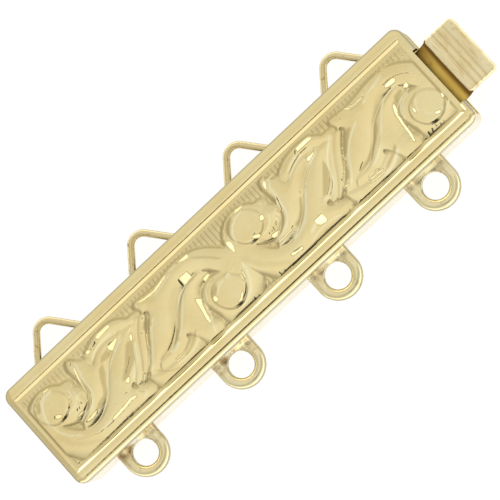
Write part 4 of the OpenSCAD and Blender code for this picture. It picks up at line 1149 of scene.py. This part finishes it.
def ring_gold(name, stain_and_shadow):
    """The rings' gold, with the brown stain of the soldering near the case's wall."""
    material = gold(name, (0.95, 0.86, 0.54), 0.2, 3000.0, browning=(0.0, 0.3), sides=0.9,
                    side_shade_colour=(0.5, 0.44, 0.26))
    tree = material.node_tree
    spot = find_node(tree, "ShaderNodeTexCoord").outputs["Object"]
    place = add_node(tree, "ShaderNodeSeparateXYZ", links={"Vector": spot})
    near = add_node(tree, "ShaderNodeMapRange", {"From Min": -4.6 * MM, "From Max": -3.5 * MM},
                    {"Value": place.outputs["Y"]})
    patch = add_node(tree, "ShaderNodeTexNoise", {"Scale": 1500.0, "Detail": 3.0}, {"Vector": spot})
    edge = add_node(tree, "ShaderNodeMapRange", {"From Min": 0.42, "From Max": 0.6, "To Max": stain_and_shadow},
                    {"Value": patch.outputs["Fac"]})
    both = add_node(tree, "ShaderNodeMath", links={0: near.outputs["Result"], 1: edge.outputs["Result"]},
                    operation="MULTIPLY")
    tint(tree, (0.34, 0.19, 0.06), both.outputs[0])
    return material


# The first two rings were heated longer than the others, so they are more stained
stained_gold = ring_gold("stained_ring_gold", 0.9)
clean_gold = ring_gold("ring_gold", 0.35)
for number, (x0, out_y, right_leg) in enumerate(RINGS, start=1):
    points, faces = ring_mesh(x0, out_y, right_leg)
    material = stained_gold if number < 3 else clean_gold
    make_piece(f"ring_{number}", points, faces, material, "case", "case")

# Tongue
# A strip of springy gold is folded back on itself at the closed end. Its lower leaf lies just above
# the back plate, and the wire loops are soldered to it.
STRIP_T = 0.3
STRIP_W = 6.0
LEAF_END_X = 15.3
# The fold's middle along the case, its height and its outer radius
FOLD = (-14.125, 1.275, 0.875)


def strip_mesh(path, width, middle, thickness, round_r):
    """A strip of sheet with rounded edges that follows a path of (x, z) points along its middle."""
    path = np.array(path, float)
    step = np.gradient(path, axis=0)
    step /= np.linalg.norm(step, axis=1)[:, None]
    normal = np.stack([-step[:, 1], step[:, 0]], axis=1)
    half_t, half_w = thickness / 2, width / 2
    section = []
    for sy, sz in ((1, 1), (1, -1), (-1, -1), (-1, 1)):
        for k in range(4):
            a = math.pi / 2 * k / 3
            p, q = (math.sin(a), math.cos(a)) if sy * sz > 0 else (math.cos(a), math.sin(a))
            section.append((sy * (half_w - round_r + round_r * p), sz * (half_t - round_r + round_r * q)))
    n = len(section)
    points = []
    for (x, z), (nx, nz) in zip(path, normal):
        points += [(x + nx * q, middle + y, z + nz * q) for y, q in section]
    faces = []
    for i in range(len(path) - 1):
        for k in range(n):
            a, b = i * n + k, i * n + (k + 1) % n
            faces.append([a, a + n, b + n, b])
    faces.append(list(range(n)))
    faces.append([(len(path) - 1) * n + k for k in reversed(range(n))])
    return points, faces


tongue_gold = gold("tongue_gold", (0.92, 0.79, 0.43), 0.2, 2600.0, browning=(0.0, 0.4))
mid_r = FOLD[2] - STRIP_T / 2
path = [(x, FOLD[1] - mid_r) for x in np.linspace(LEAF_END_X, FOLD[0] + 0.05, 60)]
path += [(FOLD[0] - mid_r * math.sin(a), FOLD[1] - mid_r * math.cos(a))
         for a in np.linspace(0, math.pi, 25)]
points, faces = strip_mesh(path, STRIP_W, 0.0, STRIP_T, 0.08)
make_piece("tongue_strip", points, faces, tongue_gold, "tongue", "tongue")

# Wire loops
# Four loops of thin wire come out through the slot. Each is bent by hand to an open triangle with a
# round tip and soldered to the lower leaf. They reach a little less far from the first to the last.
LOOP_Z = 0.9
# Each loop's middle along the side and how far it reaches out from the wall
LOOPS = [(-11.4, 2.06), (-3.8333, 1.9733), (3.7333, 1.8867), (11.3, 1.8)]
LOOP_WIRE_R = 0.225
LOOP_BEND_R = 0.74
LOOP_SLOPE = math.radians(51)
# Where the legs end on the lower leaf
LOOP_END_Y = 2.4


def tube_mesh(path, radius, sides):
    """A round wire along a level path of (x, y, z) points."""
    path = np.array(path, float)
    step = np.gradient(path, axis=0)
    step /= np.linalg.norm(step, axis=1)[:, None]
    side = np.stack([step[:, 1], -step[:, 0], np.zeros(len(path))], axis=1)
    points = []
    for centre, out in zip(path, side):
        for k in range(sides):
            a = 2 * math.pi * k / sides
            points.append(centre + radius * (out * math.cos(a) + np.array([0, 0, math.sin(a)])))
    faces = []
    for i in range(len(path) - 1):
        for k in range(sides):
            a, b = i * sides + k, i * sides + (k + 1) % sides
            faces.append([a, b, b + sides, a + sides])
    faces.append(list(range(sides))[::-1])
    faces.append([(len(path) - 1) * sides + k for k in range(sides)])
    return points, faces


loop_gold = gold("loop_gold", (0.86, 0.74, 0.43), 0.24, 3400.0, browning=(0.0, 0.6), sides=0.7)
for number, (x0, reach) in enumerate(LOOPS, start=1):
    bend_y = half_w + reach - LOOP_WIRE_R - LOOP_BEND_R
    leg_x = LOOP_BEND_R * math.sin(LOOP_SLOPE)
    leg_y = bend_y + LOOP_BEND_R * math.cos(LOOP_SLOPE)
    run_y = leg_y - LOOP_END_Y
    run_x = run_y / math.tan(LOOP_SLOPE)
    left = [(x0 - leg_x - s * run_x, leg_y - s * run_y, LOOP_Z) for s in np.linspace(1, 0, 16)[:-1]]
    bend = [(x0 + LOOP_BEND_R * math.sin(a), bend_y + LOOP_BEND_R * math.cos(a), LOOP_Z)
            for a in np.linspace(-LOOP_SLOPE, LOOP_SLOPE, 25)]
    right = [(x0 + leg_x + s * run_x, leg_y - s * run_y, LOOP_Z) for s in np.linspace(0, 1, 16)[1:]]
    points, faces = tube_mesh(left + bend + right, LOOP_WIRE_R, 20)
    make_piece(f"loop_{number}", points, faces, loop_gold, "tongue", "tongue")

# Spring leaf and neck
# The upper leaf of the strip springs up behind the lip. At the mouth it turns up through the notch
# as the neck, whose hollow is painted brown: a painted shadow against the thumb plate, and less strongly
# over the half on the loops' side.
SPRING_Z = 2.0
SHOULDER_X = 14.98
THUMB_Y = -0.25
THUMB_W = 3.95
NECK_R = 1.0

leaf_gold = gold("leaf_gold", (0.92, 0.79, 0.43), 0.2, 2600.0, browning=(0.0, 0.4))
path = [(x, SPRING_Z) for x in np.linspace(FOLD[0] + 0.06, SHOULDER_X, 60)]
points, faces = strip_mesh(path, STRIP_W, 0.0, STRIP_T, 0.06)
make_piece("spring_leaf", points, faces, leaf_gold, "lever", "thumb_lever")

neck_gold = gold("neck_gold", (0.98, 0.69, 0.17), 0.35, 2600.0, browning=(0.0, 0.3))
tree = neck_gold.node_tree
spot = find_node(tree, "ShaderNodeTexCoord").outputs["Object"]
place = add_node(tree, "ShaderNodeSeparateXYZ", links={"Vector": spot})
# It is painted brown against the thumb plate, a painted shadow of the plate, and less strongly over the half
# on the loops' side
near = add_node(tree, "ShaderNodeMapRange", {"From Min": 15.7 * MM, "From Max": 15.95 * MM},
                {"Value": place.outputs["X"]})
far = add_node(tree, "ShaderNodeMapRange", {"From Min": 0.1 * MM, "From Max": 1.6 * MM, "To Max": 0.75},
               {"Value": place.outputs["Y"]})
stain_and_shadow = add_node(tree, "ShaderNodeMath", links={0: near.outputs["Result"], 1: far.outputs["Result"]},
                 operation="MAXIMUM")
tint(tree, (0.26, 0.13, 0.025), stain_and_shadow.outputs[0])
# It is shaded as if it lay flatter than it does, so it mirrors the light above and not the notch
surface = add_node(tree, "ShaderNodeNewGeometry")
lifted = add_node(tree, "ShaderNodeVectorMath", {1: (0, 0, 3)}, {0: surface.outputs["Normal"]},
                  operation="ADD")
shade_along(tree, lifted.outputs[0])
path = [(x, SPRING_Z) for x in np.linspace(SHOULDER_X - 0.4, MOUTH_X, 6)[:-1]]
turn_r = NECK_R + STRIP_T / 2
path += [(MOUTH_X + turn_r * math.sin(a), SPRING_Z + turn_r - turn_r * math.cos(a))
         for a in np.linspace(0, math.pi / 2, 20)]
points, faces = strip_mesh(path, THUMB_W, THUMB_Y, STRIP_T, 0.08)
make_piece("neck", points, faces, neck_gold, "lever", "thumb_lever")

# Thumb plate
# A small thick plate on the neck's end, pressed with the thumb nail to free the catch. Its top is
# brushed across and filed with three finger grooves.
PLATE = (2.1, THUMB_W, 0.55)
PLATE_X = 16.08
PLATE_TOP = 3.35
PLATE_R = 0.28
PLATE_EDGE_R = 0.14
# The grooves' places as shares of the plate's length, their depth and their half width
GROOVES = (0.26, 0.45, 0.63)
GROOVE_D = 0.09
GROOVE_W = 0.1


def plate_height(x, y):
    """Height of the plate's top over its underside, x from the neck's side."""
    d = edge_distance(x - PLATE[0] / 2, y, PLATE[0] / 2, PLATE[1] / 2, PLATE_R)
    fall = PLATE_EDGE_R - np.clip(d, 0, PLATE_EDGE_R)
    z = PLATE[2] - PLATE_EDGE_R + np.sqrt(np.clip(PLATE_EDGE_R ** 2 - fall ** 2, 0, None))
    fall = PLATE_R - np.clip(PLATE[0] - x, 0, PLATE_R)
    z = z - (PLATE_R - np.sqrt(np.clip(PLATE_R ** 2 - fall ** 2, 0, None))) * 0.7
    for share in GROOVES:
        off = (x - share * PLATE[0]) / GROOVE_W
        z = z - GROOVE_D * np.exp(-off * off)
    # Fine uneven lines that the file left along the grooves
    return z + 0.006 * np.sin(x * 47) * np.sin(x * 113 + 1)


plate_gold = gold("plate_gold", (0.99, 0.88, 0.56), 0.3, 2600.0, browning=(0.0, 0.2))
tree = plate_gold.node_tree
metal = find_node(tree, "ShaderNodeBsdfPrincipled")
spot = find_node(tree, "ShaderNodeTexCoord").outputs["Object"]
squeeze = add_node(tree, "ShaderNodeMapping", {"Scale": (1.0, 0.07, 0.3)}, {"Vector": spot})
streak = add_node(tree, "ShaderNodeTexNoise", {"Scale": 9000.0, "Detail": 4.0, "Roughness": 0.65},
                  {"Vector": squeeze.outputs["Vector"]})
line = add_node(tree, "ShaderNodeMapRange", {"From Min": 0.47, "From Max": 0.62, "To Max": 0.6},
                {"Value": streak.outputs["Fac"]})
patch = add_node(tree, "ShaderNodeTexNoise", {"Scale": 1100.0, "Detail": 2.0}, {"Vector": spot})
where_brown = add_node(tree, "ShaderNodeMapRange", {"From Min": 0.36, "From Max": 0.56},
                       {"Value": patch.outputs["Fac"]})
both = add_node(tree, "ShaderNodeMath", links={0: line.outputs["Result"], 1: where_brown.outputs["Result"]},
                operation="MULTIPLY")
tint(tree, (0.72, 0.50, 0.17), both.outputs[0])
brushed = add_node(tree, "ShaderNodeBump", {"Strength": 0.8, "Distance": 0.00003},
                   {"Height": streak.outputs["Fac"], "Normal": metal.inputs["Normal"].links[0].from_socket})
tree.links.new(brushed.outputs["Normal"], metal.inputs["Normal"])
plate_l, plate_w = PLATE[0] / 2, PLATE[1] / 2
px = np.linspace(0, PLATE[0], 85)
py = lines((-plate_w, -plate_w + 0.3, 8), (-plate_w + 0.3, plate_w - 0.3, 20), (plate_w - 0.3, plate_w, 8))
gx, gy = np.meshgrid(px, np.array(py), indexing="ij")
gx, gy = warp_corners(gx - plate_l, gy, plate_l, plate_w, PLATE_R)
low_z = PLATE_TOP - PLATE[2]
gz = plate_height(gx + plate_l, gy) + low_z
points = np.stack([gx + plate_l + PLATE_X, gy + THUMB_Y, gz], axis=-1).reshape(-1, 3).tolist()
faces = grid_faces(len(px), len(py)).tolist()
# The plate's sides hang from the rim of its top, down to the underside
rows_n = len(py)
last = len(px) - 1
rim = list(range(rows_n)) + [i * rows_n + rows_n - 1 for i in range(1, last + 1)]
rim += [last * rows_n + j for j in range(rows_n - 2, -1, -1)] + [i * rows_n for i in range(last - 1, 0, -1)]
start = len(points)
points += [list(points[at]) for at in rim]
points += [[points[at][0], points[at][1], low_z] for at in rim]
n = len(rim)
faces += [[start + k, start + (k + 1) % n, start + n + (k + 1) % n, start + n + k] for k in range(n)]
faces.append([start + n + k for k in range(n)])
make_piece("thumb_plate", points, faces, plate_gold, "lever", "thumb_lever")
